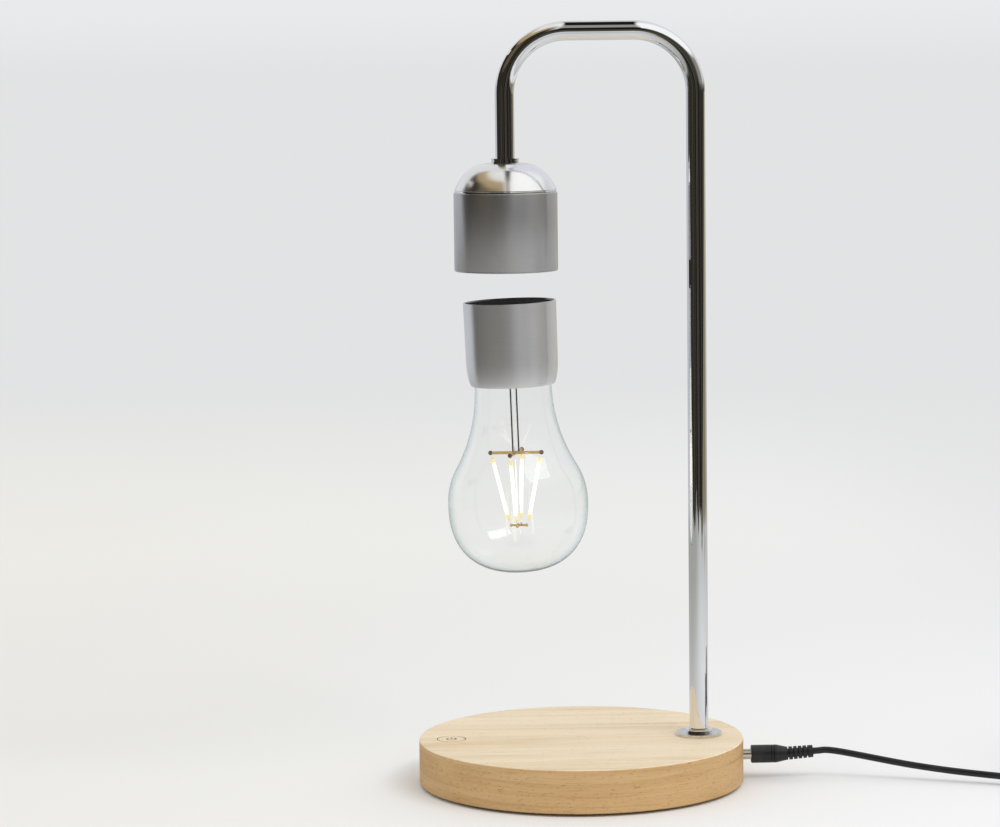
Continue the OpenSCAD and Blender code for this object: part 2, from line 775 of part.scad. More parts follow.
// The cable inside the arm, from the main board to the head board
bend_steps = 6;
head_cable_low = [
    [connector_end, head_plug_y, connector_z], [connector_end + 4, head_plug_y, connector_z],
    [connector_end + 10, head_plug_y, connector_z - 2.6],
    [riser_x - 16, 7.6, tube_low_z - 4.4], [riser_x - 9, 4, tube_low_z - 5.6],
    [riser_x - 3.6, 1, tube_low_z - 4.4], [riser_x - 0.6, 0, tube_low_z - 1.2], [riser_x, 0, tube_low_z + 2]
];
function bend_route(middle_x, from, to) =
    [for (i = [0 : bend_steps]) let (a = from + (to - from) * i / bend_steps)
        [middle_x + bend_r * cos(a), 0, arch_z - bend_r + bend_r * sin(a)]];
head_cable_route = concat(smooth(head_cable_low, 3), bend_route(riser_x - bend_r, 0, 90),
    bend_route(bend_r - leg_x, 90, 180),
    [[-leg_x, 0, leg_end], [-leg_x, 0, leg_end - 3], [1.6 - leg_x, 0, leg_end - 6.4],
     [head_bar_x - 1.6 - leg_x, 0, head_bar_top + 5], [head_bar_x - leg_x, 0, head_bar_top + 3],
     [head_bar_x - leg_x, 0, head_bar_top]]);

module head_cable() color("black") swept(head_cable_route, head_cable_d / 2, 8, [0, 0, 1]);

// Head

module leg_collar() color("silver") translate([-leg_x, 0, dome_top]) difference() {
    ring(collar_d, tube_hole_d, collar_h);
    translate([0, 0, collar_groove_z])
        ring(collar_d + cut, collar_d - 2 * collar_groove[0], collar_groove[1]);
}

module head_nut() color("silver") translate([-leg_x, 0, dome_ceiling - nut_h]) hex_nut(tube_hole_d);

// Points of the dome's curve from the collar down to the rim
function dome_curve(rx, rise, start_r, steps = 20) =
    let (a = acos(start_r / rx))
    [for (i = [0 : steps]) let (b = a * (1 - i / steps)) [rx * cos(b), dome_z + rise * sin(b)]];

module head_dome() color("silver") translate([-leg_x, 0, 0]) rotate_extrude($fn = 120) {
    inner = dome_curve(dome_rx - dome_wall, dome_rise - dome_wall, nut_room_r);
    outer = dome_curve(dome_rx, dome_rise, collar_d / 2);
    backwards = [for (i = [len(inner) - 1 : -1 : 0]) [inner[i][0], min(inner[i][1], dome_ceiling)]];
    polygon(concat([[tube_hole_d / 2, dome_top]], outer, backwards,
        [[nut_room_r, dome_ceiling], [tube_hole_d / 2, dome_ceiling]]));
}

// The ring between sleeve and dome: its spigots centre both
module trim_ring() color("silver") translate([-leg_x, 0, 0]) rotate_extrude($fn = 120) {
    low_r = sleeve_d / 2 - sleeve_wall - (sleeve_d - sleeve_low_d) / 2 * spigot_h / sleeve_h - fit;
    high_r = dome_rx - dome_wall - dome_spigot_play;
    step_z = dome_z - trim_lip[1];
    polygon([
        [low_r - spigot_wall, sleeve_top - spigot_h], [low_r, sleeve_top - spigot_h], [low_r, sleeve_top],
        [sleeve_d / 2 - fit, sleeve_top], [sleeve_d / 2 - fit, step_z], [dome_rx - trim_lip[0], step_z],
        [dome_rx - trim_lip[0], dome_z], [high_r, dome_z], [high_r, dome_z + dome_spigot_h],
        [high_r - spigot_wall, dome_z + dome_spigot_h], [high_r - spigot_wall, sleeve_top],
        [low_r - spigot_wall, sleeve_top - spigot_wall / 2]
    ]);
}

module head_sleeve() color("darkgray") translate([-leg_x, 0, head_z]) rotate_extrude($fn = 120) {
    top_r = sleeve_d / 2;
    low_r = sleeve_low_d / 2;
    polygon([
        [low_r - sleeve_wall, 0], [low_r - sleeve_edge, 0], [low_r, sleeve_edge], [top_r, sleeve_h],
        [top_r - sleeve_wall, sleeve_h]
    ]);
}

module head_disc() color("black") translate([-leg_x, 0, disc_z]) {
    cylinder(d = sleeve_low_d - 2 * sleeve_wall - fit, h = disc_t);
}

module power_coil() color("peru") translate([-leg_x, 0, disc_top]) {
    ring(power_coil_d, power_coil_bore, power_coil_t);
}

module hall_sensor() color("darkgreen") translate([-leg_x, 0, disc_top]) {
    cylinder(d = power_coil_bore - 2 * sensor_play, h = sensor_board_t);
    translate([0, 0, sensor_board_t]) centred_box(sensor);
}

module coil_bobbin() color("ivory") translate([-leg_x, 0, bobbin_z]) difference() {
    union() {
        cylinder(d = bobbin_d, h = bobbin_wall);
        translate([0, 0, bobbin_h - bobbin_wall]) cylinder(d = bobbin_d, h = bobbin_wall);
        cylinder(d = core_d + 2 * fit + 2 * bobbin_wall, h = bobbin_h);
    }
    translate([0, 0, -cut]) cylinder(d = core_d + 2 * fit, h = bobbin_h + 2 * cut);
}

module magnet_coil() color("chocolate") translate([-leg_x, 0, bobbin_z + bobbin_wall + fit]) {
    ring(bobbin_d - 2 * winding_in, core_d + 4 * fit + 2 * bobbin_wall, bobbin_h - 2 * bobbin_wall - 2 * fit);
}

module coil_core() color("gray") translate([-leg_x, 0, bobbin_z]) cylinder(d = core_d, h = bobbin_h);

module head_board() color("darkgreen") translate([-leg_x, 0, bobbin_top]) {
    cylinder(d = head_board_d, h = head_board_t);
    translate([0, 0, head_board_t - fit]) {
        boxes(head_chips);
        cans(head_cans);
    }
}

// Bulb: everything here hangs from the rim's middle and leans about the magnet's centre

module on_bulb(turn = 0) {
    translate([bulb_x, 0, rim_z - magnet_deep]) rotate([0, -bulb_lean, 0]) translate([0, 0, magnet_deep])
        rotate([0, 0, turn]) children();
}

// Points of the cap's side at a distance from its outer face
function cap_side(inset, steps = 12) = concat(
    [[cap_r - inset, 0], [cap_low_d / 2 - inset, shoulder_h - cap_h]],
    [for (i = [1 : steps]) let (a = 90 * i / steps)
        [lip_r - inset + (cap_low_d / 2 - lip_r) * cos(a), shoulder_h - cap_h - shoulder_h * sin(a)]]);

module bulb_cap() color("lightgray") on_bulb() rotate_extrude($fn = 120) {
    outer = cap_side(0);
    inner = cap_side(cap_wall);
    polygon(concat(outer, [for (i = [len(inner) - 1 : -1 : 0]) inner[i]]));
}

module bulb_lid() color("black") on_bulb() translate([0, 0, -lid_low]) {
    cylinder(d = cap_d - 2 * cap_wall - fit, h = lid_t);
}

module receiver_coil() color("peru") on_bulb() translate([0, 0, -lid_low - fit - power_coil_t]) {
    ring(power_coil_d, 2 * cup_r + 4 * loose, power_coil_t);
}

module bulb_magnet() color("silver") on_bulb() translate([0, 0, -magnet_deep - magnet_t / 2]) {
    cylinder(d = magnet_d, h = magnet_t);
}

module magnet_cup() color("ivory") on_bulb() translate([0, 0, -cup_low]) difference() {
    cylinder(r = cup_r, h = cup_low - cup_deep);
    translate([0, 0, cup_wall]) cylinder(d = magnet_d + 2 * magnet_play, h = cup_low);
}

module receiver_board() color("darkgreen") on_bulb()
translate([0, 0, -receiver_board_deep - receiver_board_t]) {
    cylinder(d = cap_low_d - 2 * cap_wall - 2 * fit, h = receiver_board_t);
    translate([0, 0, fit]) rotate([180, 0, 0]) {
        boxes(receiver_chips);
        cans(receiver_cans);
    }
}

module neck_seal() color("gainsboro") on_bulb() translate([0, 0, -neck_top_deep - seal_drop - seal_h]) {
    ring(cap_low_d - 2 * cap_wall - 2 * fit, neck_d + 2 * fit, seal_h);
}

// Glass from the neck's top down to the tip, set in from its outer face by inset
function glass_side(inset, steps = 14) = concat(
    [[neck_r - inset, -neck_top_deep]],
    [for (i = [0 : steps]) let (a = flare_angle * i / steps)
        [neck_r + flare_r - (flare_r + inset) * cos(a), -flare_deep - (flare_r + inset) * sin(a)]],
    [for (i = [1 : 2 * steps]) let (a = flare_angle - (flare_angle + 90) * i / (2 * steps))
        [(ball_r - inset) * cos(a), -ball_deep + (ball_r - inset) * sin(a)]]);

module glass_envelope() color([0.9, 0.95, 1, 0.3]) on_bulb() rotate_extrude($fn = 120) {
    outer = glass_side(0);
    inner = glass_side(glass_wall);
    polygon(concat(outer, [for (i = [len(inner) - 1 : -1 : 0]) [max(inner[i][0], 0), inner[i][1]]]));
}

module stem_holes() for (side = [-1, 1]) translate([side * wire_gap / 2, 0, -hub_deep]) {
    cylinder(d = wire_d + 2 * fit, h = hub_deep);
}

// The flare that closes the neck, with the rod that carries both crosses
module glass_stem() color([0.85, 0.95, 0.95, 0.5]) on_bulb(cross_turn) {
    difference() {
        translate([0, 0, -stem_deep - stem_t]) cylinder(d = neck_d - 2 * glass_wall - 2 * fit, h = stem_t);
        stem_holes();
    }
    translate([0, 0, -hub_deep]) cylinder(d = rod_d, h = hub_deep - stem_deep - stem_t / 2);
}

module supply_wires() color("dimgray") on_bulb(cross_turn) for (side = [-1, 1]) {
    wire_top = receiver_board_deep + receiver_board_t;
    translate([side * wire_gap / 2, 0, cross_h / 2 - cross_deep]) {
        cylinder(d = wire_d, h = cross_deep - cross_h / 2 - wire_top);
    }
}

// A cross of flat bars round the rod, with a bead at the end of each arm
module cross_bars(r, h, w, bead_d) difference() {
    union() {
        centred_box([2 * r, w, h]);
        centred_box([w, 2 * r, h]);
        cylinder(d = rod_d + 2 * cross_hub_wall, h = h);
        around([0, 90, 180, 270], r) translate([0, 0, h / 2]) sphere(d = bead_d, $fn = 24);
    }
    translate([0, 0, -cut]) cylinder(d = rod_d + 2 * fit, h = h + 2 * cut);
}

module upper_cross() color("goldenrod") on_bulb(cross_turn) translate([0, 0, -cross_deep - cross_h / 2]) {
    cross_bars(cross_r - cross_bead_in, cross_h, cross_w, cross_bead_d);
}

module lower_cross() color("goldenrod") on_bulb(cross_turn) translate([0, 0, -hub_deep - hub_h / 2]) {
    cross_bars(hub_r - hub_bead_in, hub_h, hub_w, hub_bead_d);
}

// One lit strip with its metal ends and the hooks to both crosses
module filament(n) on_bulb(cross_turn + 360 * (n - 1) / filaments) {
    drop = filament_low[1] - filament_top[1];
    run = filament_top[0] - filament_low[0];
    span = norm([drop, run]);
    slope = atan2(run, drop);
    color("lightyellow") translate([filament_low[0], 0, -filament_low[1]]) rotate([0, slope, 0]) {
        cylinder(d = filament_d, h = span);
        cylinder(d = cap_bead_d, h = cap_bead_len);
        translate([0, 0, span - cap_bead_len]) cylinder(d = cap_bead_d, h = cap_bead_len);
        translate([0, 0, span]) cylinder(d = hook_d, h = hook_top);
        translate([0, 0, -hook_low]) cylinder(d = hook_d, h = hook_low);
    }
}

module filament_1() filament(1);
module filament_2() filament(2);
module filament_3() filament(3);
module filament_4() filament(4);

// Plug and strain relief

module plug_barrel() color("silver") difference() {
    translate([barrel_tip, 0, jack_z]) along_x()
        cylinder(d = barrel_d, h = plug_x + barrel_root - barrel_tip);
    translate([barrel_tip - cut, 0, jack_z]) along_x()
        cylinder(d = barrel_bore, h = barrel_in + barrel_bore_past);
}

// The plug body's side, with its fine grooves
plug_side = concat(
    [[0, 0], [plug_d / 2 - plug_edge, 0], [plug_d / 2, plug_edge]],
    [for (rear = plug_grooves, step = [-1 : 1])
        [plug_d / 2 - groove_deep * (1 - abs(step)), plug_len - rear + groove_half * step]],
    [[plug_d / 2, plug_len], [relief_d / 2, plug_len + taper_len],
     [relief_d / 2, plug_len + taper_len + relief_tilt_over], [0, plug_len + taper_len + relief_tilt_over]]);

module plug_body() color("black") difference() {
    translate([plug_x, 0, jack_z]) along_x() rotate_extrude() polygon(plug_side);
    translate([plug_end, 0, jack_z]) rotate([0, 90 - relief_tilt, 0]) cylinder(d = plug_d, h = relief_len);
    translate([plug_x - cut, 0, jack_z]) along_x()
        cylinder(d = barrel_d + 2 * fit, h = barrel_root + fit + cut);
}

module ribbed_relief(length, start_d, end_d) difference() {
    cylinder(d1 = start_d, d2 = end_d, h = length);
    for (i = [0 : relief_ribs - 1]) translate([0, 0, relief_first + i * relief_step])
        ring(max(start_d, end_d) + cut, min(start_d, end_d) - 2 * relief_cut_deep, relief_cut_w);
}

module cord_relief() color("black") translate([plug_end, 0, jack_z]) rotate([0, 90 - relief_tilt, 0]) {
    ribbed_relief(relief_len, relief_d, relief_end_d);
}

// Cord

module cord_run() color("black") swept(smooth(cord_route, 2), cord_r, 8);

// Middle line of the coil after a number of turns: it spirals in, climbs, spirals out, and so on
function ramp(t) = let (u = min(max(t, 0), 1)) u * u * (3 - 2 * u);
function layer_climb(turns, j) = j >= coil_layers ? 0
    : ramp((turns - j * layer_turns) / climb + 0.5) + layer_climb(turns, j + 1);
function coil_point(turns) =
    let (layer = min(floor(turns / layer_turns), coil_layers - 1),
         part = turns / layer_turns - layer,
         inward = layer % 2 == 0 ? part : 1 - part,
         r = coil_out_r - (coil_out_r - coil_in_r) * inward,
         a = 360 * turns - 90)
    [coil_x + r * cos(a), coil_y + r * sin(a), coil_low_z + layer_step * layer_climb(turns, 1)];
coil_middle = [for (i = [0 : coil_turns * coil_rings]) coil_point(i / coil_rings)];
coil_route = concat(
    [[cord_route[len(cord_route) - 1][0], coil_y - coil_out_r, coil_low_z]],
    coil_middle,
    [[adapter_x, coil_y + coil_tail - cord_d, coil_top_z], [adapter_x, coil_y + coil_tail, coil_top_z]]);

// Least gap of the coil to itself, from points at least half a turn apart
coil_gap = min([for (i = [0 : len(coil_middle) - 1], k = [i + coil_rings / 2 : 1 : len(coil_middle) - 1])
    norm(coil_middle[i] - coil_middle[k])]) - cord_d;

module cord_coil() color("black") swept(coil_route, cord_r, 6);

module cord_tie() color("dimgray") {
    bundle = [coil_out_r - coil_in_r + cord_d + 2 * loose, coil_top_z + cord_r + loose - tie_t];
    translate([coil_x, coil_y, 0]) rotate([0, 0, tie_angle]) translate([coil_r, 0, 0]) {
        translate([0, tie_w / 2, tie_t + bundle[1] / 2]) rotate([90, 0, 0]) difference() {
            rounded_box([bundle[0] + 2 * tie_t, bundle[1] + 2 * tie_t, tie_w], tie_corner);
            translate([0, 0, -cut]) rounded_box([bundle[0], bundle[1], tie_w + 2 * cut], tie_corner - tie_t);
        }
        translate([0, 0, bundle[1] + 2 * tie_t - fit])
            centred_box([bundle[0] * tie_lock, tie_w, tie_t + fit]);
    }
}

// Wall adapter, lying on its back with the blades up

module adapter_shell(low, high) difference() {
    translate([adapter_x, adapter_y + adapter_len / 2, low])
        rounded_box([adapter_w, adapter_len, high - low], adapter_corner);
    translate([adapter_x, adapter_y + adapter_len / 2, adapter_wall]) rounded_box(
        [adapter_w - 2 * adapter_wall, adapter_len - 2 * adapter_wall, adapter_t - 2 * adapter_wall],
        adapter_corner - adapter_wall);
}

module relief_hole() translate([adapter_x, adapter_y - cut, coil_top_z]) along_y() {
    cylinder(d = adapter_neck_d + 2 * fit, h = adapter_wall + 2 * cut);
}

module blade_places() for (side = [-1, 1]) {
    translate([adapter_x + side * blade_gap / 2, adapter_y + adapter_len - blade_end, 0]) children();
}

module adapter_back() color("black") difference() {
    adapter_shell(0, adapter_split);
    relief_hole();
}

module adapter_front() color("black") difference() {
    adapter_shell(adapter_split, adapter_t);
    relief_hole();
    blade_places() translate([0, 0, adapter_split])
        centred_box([blade[0] + 2 * fit, blade[1] + 2 * fit, adapter_t]);
}

module adapter_board() color("darkgreen") translate([adapter_x, adapter_y + adapter_len / 2, adapter_wall]) {
    inset = 2 * adapter_wall + 2 * adapter_board_play;
    rounded_box([adapter_w - inset, adapter_len - inset, adapter_board_t], adapter_corner - adapter_wall);
    translate([0, 0, adapter_board_t - fit]) {
        boxes(adapter_chips);
        cans(adapter_cans);
    }
}

module adapter_blades() color("silver") blade_places() {
    translate([0, 0, adapter_t - adapter_wall - blade_flange[2]]) centred_box(blade_flange);
    translate([0, 0, adapter_t - adapter_wall - blade_in])
        centred_box([blade[0], blade[1], blade_in + adapter_wall + blade_len]);
}

module adapter_relief() color("black") {
    translate([adapter_x, adapter_y - adapter_relief_len, coil_top_z]) along_y()
        ribbed_relief(adapter_relief_len, relief_end_d, adapter_relief_d);
    translate([adapter_x, adapter_y - adapter_seat, coil_top_z]) along_y()
        cylinder(d = adapter_neck_d, h = adapter_wall + adapter_seat);
}

echo("Cord length from plug to adapter", route_length(smooth(cord_route, 2)) + route_length(coil_route));
echo("Least gap of the coil to itself", coil_gap);

base_body();
base_cover();
base_feet();
cover_screws();
main_board();
board_chips();
board_capacitors();
board_connectors();
board_screws();
touch_plate();
touch_lead();
dc_jack();
jack_pin();
jack_nut();
jack_leads();
foot_washer();
foot_ring();
lock_washer();
tube_nut();
arm_tube();
head_cable();
leg_collar();
head_nut();
head_dome();
trim_ring();
head_sleeve();
head_disc();
power_coil();
hall_sensor();
coil_bobbin();
magnet_coil();
coil_core();
head_board();
bulb_cap();
bulb_lid();
receiver_coil();
bulb_magnet();
magnet_cup();
receiver_board();
neck_seal();
glass_envelope();
glass_stem();
supply_wires();
upper_cross();
filament_1();
filament_2();
filament_3();
filament_4();
lower_cross();
plug_barrel();
plug_body();
cord_relief();
cord_run();
cord_coil();
cord_tie();
adapter_back();
adapter_front();
adapter_board();
adapter_blades();
adapter_relief();
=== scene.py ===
"""Looks of the levitating bulb lamp: its finishes, lit filaments, cord and a pale studio.

Metres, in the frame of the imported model: z = 0 is the table, the origin lies under the middle of the
base, the plug points along +X, and the camera looks along +Y. Colours are linear red, green and blue.
"""

import math

import bpy
from mathutils import Matrix, Vector


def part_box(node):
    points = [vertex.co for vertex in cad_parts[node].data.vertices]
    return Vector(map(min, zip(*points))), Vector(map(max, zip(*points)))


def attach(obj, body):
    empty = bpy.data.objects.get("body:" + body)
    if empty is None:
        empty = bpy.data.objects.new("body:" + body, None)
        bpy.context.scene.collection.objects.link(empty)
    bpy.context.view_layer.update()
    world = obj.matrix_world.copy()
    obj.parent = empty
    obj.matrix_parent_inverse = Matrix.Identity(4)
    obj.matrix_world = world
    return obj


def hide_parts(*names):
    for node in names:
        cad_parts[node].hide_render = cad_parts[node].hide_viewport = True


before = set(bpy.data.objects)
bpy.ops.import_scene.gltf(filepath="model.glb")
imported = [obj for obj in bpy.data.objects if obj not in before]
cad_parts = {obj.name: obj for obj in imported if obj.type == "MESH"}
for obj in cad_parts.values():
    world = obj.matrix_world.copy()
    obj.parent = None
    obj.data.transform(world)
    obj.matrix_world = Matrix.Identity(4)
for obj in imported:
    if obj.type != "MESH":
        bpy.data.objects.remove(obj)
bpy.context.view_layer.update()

MM = 0.001
UP = Vector((0, 0, 1))


def middle(node):
    """The middle of a CAD node's box."""
    low, high = (Vector(corner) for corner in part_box(node))
    return (low + high) / 2


# Places shared by several pieces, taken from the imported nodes
WOOD_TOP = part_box("base_body")[1][2]
MARK_AT = middle("touch_plate")
MARK_AT.z = WOOD_TOP
RISER_AT = middle("foot_washer")
RISER_FOOT = (RISER_AT.x, RISER_AT.y, 0.0)
BULB_LEAN = math.radians(-1.8)
CROSS_TURN = math.radians(-15.5)
RIM_OVER_MAGNET = 8.0 * MM

# From the bulb's own frame, z = 0 at its rim and z up its axis, to the lamp's
BULB = (
    Matrix.Translation(middle("bulb_magnet"))
    @ Matrix.Rotation(BULB_LEAN, 4, "Y")
    @ Matrix.Translation((0, 0, RIM_OVER_MAGNET))
)
BULB_AXIS = BULB.to_3x3() @ UP


# Camera

CAMERA_AT = Vector((-0.1054, -1.7970, 0.3877))
CAMERA_AIM = Vector((-0.04085, 0.0, 0.19656))
CAMERA_ROLL = math.radians(-0.675)
CAMERA_LENS = 124.55
CAMERA_SENSOR = 36


def place_camera():
    """The photograph's camera: 1.8 m in front, level with the top of the arm, rolled by a hair."""
    forward = (CAMERA_AIM - CAMERA_AT).normalized()
    right = forward.cross(UP).normalized()
    up = right.cross(forward)
    right, up = (
        right * math.cos(CAMERA_ROLL) + up * math.sin(CAMERA_ROLL),
        up * math.cos(CAMERA_ROLL) - right * math.sin(CAMERA_ROLL),
    )
    lens = bpy.data.cameras.new("photo_camera")
    lens.sensor_width = CAMERA_SENSOR
    lens.lens = CAMERA_LENS
    lens.clip_start = 0.1
    lens.clip_end = 40
    camera = bpy.data.objects.new("photo_camera", lens)
    bpy.context.scene.collection.objects.link(camera)
    turn = Matrix((right, up, -forward)).transposed().to_4x4()
    camera.matrix_world = Matrix.Translation(CAMERA_AT) @ turn
    bpy.context.scene.camera = camera


# Shader arithmetic


def operator(operation, swapped=False):
    """An operator of Amount that adds one Math node."""

    def apply(self, other):
        terms = (other, self) if swapped else (self, other)
        return self.recipe.maths(operation, *terms)

    return apply


class Amount:
    """A value in a node tree, which takes part in Python sums."""

    def __init__(self, recipe, socket):
        self.recipe = recipe
        self.socket = socket

    __add__ = operator("ADD")
    __sub__ = operator("SUBTRACT")
    __rsub__ = operator("SUBTRACT", True)
    __mul__ = operator("MULTIPLY")
    __rmul__ = operator("MULTIPLY", True)

    def __abs__(self):
        return self.recipe.maths("ABSOLUTE", self)


class Recipe:
    """A node tree being written: a material's or the world's."""

    PRINCIPLED = {
        "colour": "Base Color",
        "roughness": "Roughness",
        "metallic": "Metallic",
        "normal": "Normal",
        "coat": "Coat Weight",
        "coat_roughness": "Coat Roughness",
        "ior": "IOR",
        "transmission": "Transmission Weight",
        "glow": "Emission Color",
        "glow_strength": "Emission Strength",
        "specular": "Specular IOR Level",
        "brushed": "Anisotropic",
        "brushed_turn": "Anisotropic Rotation",
    }

    def __init__(self, owner):
        owner.use_nodes = True
        self.owner = owner
        self.tree = owner.node_tree
        self.tree.nodes.clear()

    def node(self, kind, settings=(), sockets=(), output=0):
        """One shader node: its settings first, then the values or links of its sockets."""
        made = self.tree.nodes.new("ShaderNode" + kind)
        for name, value in dict(settings).items():
            setattr(made, name, value)
        for name, value in dict(sockets).items():
            socket = made.inputs[name]
            if isinstance(value, Amount):
                self.tree.links.new(value.socket, socket)
            elif socket.type == "RGBA":
                socket.default_value = (*value, 1)
            else:
                socket.default_value = value
        return Amount(self, made.outputs[output]) if made.outputs else None

    def maths(self, operation, *terms):
        return self.node("Math", {"operation": operation}, dict(enumerate(terms)))

    def vector_maths(self, operation, first, second=(0, 0, 0), output="Value"):
        settings = {"operation": operation}
        return self.node("VectorMath", settings, {0: first, 1: tuple(second)}, output)

    def end(self, surface):
        kind = "OutputWorld" if isinstance(self.owner, bpy.types.World) else "OutputMaterial"
        self.node(kind, {}, {"Surface": surface})

    def finish(self, **sockets):
        """Ends a material in one principled surface, and gives the material back."""
        self.end(self.principled(**sockets))
        return self.owner

    def principled(self, **sockets):
        values = {self.PRINCIPLED[name]: value for name, value in sockets.items()}
        return self.node("BsdfPrincipled", {}, values)

    def light_path(self, ray):
        """One for that kind of ray, such as Camera or Glossy, and nothing for the others."""
        return self.node("LightPath", output=f"Is {ray} Ray")

    def place(self):
        """Where a point lies in its own object's frame, in metres."""
        return self.node("TexCoord", output="Object")

    def part(self, vector, axis):
        return self.node("SeparateXYZ", {}, {0: vector}, output=axis)

    def distance(self, vector, point):
        return self.vector_maths("DISTANCE", vector, point)

    def scaled(self, vector, by):
        return self.node("Mapping", {}, {"Vector": vector, "Scale": by})

    def noise(self, vector, scale=1.0, detail=3.0, roughness=0.5, warp=0.0):
        """Cloudy noise about its middle, 0.5, with that many clouds a metre."""
        sockets = {
            "Vector": vector,
            "Scale": scale,
            "Detail": detail,
            "Roughness": roughness,
            "Distortion": warp,
        }
        return self.node("TexNoise", {}, sockets)

    def step(self, value, low, high, start=0.0, end=1.0):
        """A smooth step from start to end while value goes from low to high."""
        sockets = {
            "Value": value,
            "From Min": low,
            "From Max": high,
            "To Min": start,
            "To Max": end,
        }
        return self.node("MapRange", {"interpolation_type": "SMOOTHSTEP"}, sockets)

    def spread(self, noise, start=0.0, end=1.0):
        """Noise drawn out over its usual range, from start to end."""
        return self.step(noise, 0.3, 0.7, start, end)

    def near(self, value, centre, full, none):
        """One within full of the centre, fading to nothing at a distance of none."""
        return self.step(abs(value - centre), none, full)

    def mix(self, share, first, second):
        """The first colour, gone over to the second by that share."""
        return self.node("Mix", {"data_type": "RGBA"}, {0: share, 6: first, 7: second}, output=2)

    def bump(self, height, depth, strength):
        """Bumps of that depth in metres."""
        return self.node("Bump", {}, {"Height": height, "Distance": depth, "Strength": strength})


def material(name):
    return Recipe(bpy.data.materials.new(name))


# Finishes of the wood, metal and plastic

# Each face of the wood in turn: dull and bright wood, pale rings and dark rings
TOP_TONES = ((0.77, 0.61, 0.395), (0.84, 0.705, 0.50), (0.90, 0.79, 0.60), (0.70, 0.53, 0.32))
# The side's tones are darker than the top's: partly browner side grain, partly painted shade where less
# light falls.
SIDE_TONES_WITH_SHADE = ((0.54, 0.335, 0.145), (0.61, 0.395, 0.185), (0.66, 0.46, 0.24), (0.43, 0.245, 0.095))
FIBRE_BROWN = (0.40, 0.23, 0.10)
PORE_BROWN = (0.26, 0.135, 0.055)
BURNT_BROWN = (0.045, 0.025, 0.012)
MARK_R = 8.0 * MM


def board_face(m, boards, rings, tones, pale_rings, dark_share):
    """One face of the wood: slow changes of tone, then pale rings and dark rings over them."""
    dull, bright, pale, dark = tones
    face = m.mix(m.step(boards, 0.35, 0.65), dull, bright)
    face = m.mix(m.step(rings, *pale_rings), face, pale)
    return m.mix(m.step(rings, 0.44, 0.30, 0, dark_share), face, dark)


def light_wood():
    """Pale ash, oiled: straight grain along X, coarser on its sides and darker there, partly browner
    side grain and partly painted shade, the mark burnt in.
    """
    m = material("light_wood_grain")
    at = m.place()
    z = m.part(at, "Z")
    on_top = m.step(z, WOOD_TOP - 0.75 * MM, WOOD_TOP - 0.25 * MM)

    def by_face(top, side):
        return top * on_top + side * (1 - on_top)

    boards = m.noise(m.scaled(at, (1.6, 26, 40)), detail=1, warp=0.3)
    rings = by_face(m.noise(m.scaled(at, (5, 120, 20)), detail=3, roughness=0.55, warp=0.5),
                    m.noise(m.scaled(at, (7, 7, 260)), detail=3, roughness=0.6, warp=0.3))
    fibres = by_face(m.noise(m.scaled(at, (45, 950, 60)), detail=3, roughness=0.7),
                     m.noise(m.scaled(at, (60, 60, 1500)), detail=3, roughness=0.7))
    pores = m.step(m.noise(m.scaled(at, (420, 420, 1500)), detail=1), 0.60, 0.74)

    top = board_face(m, boards, rings, TOP_TONES, (0.42, 0.62, 0, 0.45), 0.75)
    # The sides take darker tones: browner side grain together with painted shade.
    side = board_face(m, boards, rings, SIDE_TONES_WITH_SHADE, (0.48, 0.66, 0, 0.55), 0.6)
    wood = m.mix(on_top, side, top)
    wood = m.mix(m.step(fibres, 0.48, 0.30) * (0.5 - 0.34 * on_top), wood, FIBRE_BROWN)
    wood = m.mix(pores * (0.45 - 0.33 * on_top), wood, PORE_BROWN)

    near_mark = 1 - m.step(m.distance(at, MARK_AT), MARK_R, MARK_R + 0.3 * MM)
    burnt = near_mark * m.step(z, WOOD_TOP - 0.06 * MM, WOOD_TOP - 0.02 * MM, 1, 0)
    wood = m.mix(burnt, wood, BURNT_BROWN)
    return m.finish(
        colour=wood, roughness=m.step(fibres, 0.2, 0.8, 0.5, 0.62), specular=0.22,
        normal=m.bump(fibres * 0.6 - pores * 0.8, 0.05 * MM, 0.3),
    )


def chrome():
    """Mirror chrome with the faintest uneven polish."""
    m = material("polished_chrome")
    wipe = m.noise(m.scaled(m.place(), (60, 60, 24)), detail=4, roughness=0.6)
    shade = m.mix(m.step(wipe, 0.3, 0.8), (0.87, 0.88, 0.89), (0.84, 0.85, 0.87))
    return m.finish(colour=shade, metallic=1.0, roughness=m.step(wipe, 0.35, 0.75, 0.02, 0.045))


def dome_chrome():
    """Chrome on a pressed dome: the polish a little soft, its surface in faint waves."""
    m = material("dome_chrome")
    at = m.place()
    wipe = m.noise(at, scale=120, detail=4, roughness=0.6)
    wave = m.noise(at, scale=70, detail=1)
    shade = m.mix(m.step(wipe, 0.3, 0.8), (0.88, 0.88, 0.89), (0.83, 0.835, 0.85))
    return m.finish(
        colour=shade, metallic=1.0, roughness=m.step(wipe, 0.35, 0.7, 0.16, 0.22),
        normal=m.bump(wave, 0.12 * MM, 0.35),
    )


def spun_metal(name, bright, dull):
    """Satin metal, brushed round an upright axis: reflections stay crisp sideways and smear upwards."""
    m = material(name)
    at = m.place()
    rings = m.noise(m.scaled(at, (60, 60, 2600)), detail=3, roughness=0.6)
    grit = m.noise(at, scale=2600, detail=2)
    clouds = m.noise(at, scale=45, detail=3)
    wear = clouds * 0.4 + grit * 0.35 + rings * 0.25
    return m.finish(
        colour=m.mix(m.step(wear, 0.35, 0.65), dull, bright), metallic=1.0,
        roughness=grit * 0.03 + 0.33, brushed=0.92, brushed_turn=0.25,
        normal=m.bump(grit, 0.004 * MM, 0.15),
    )


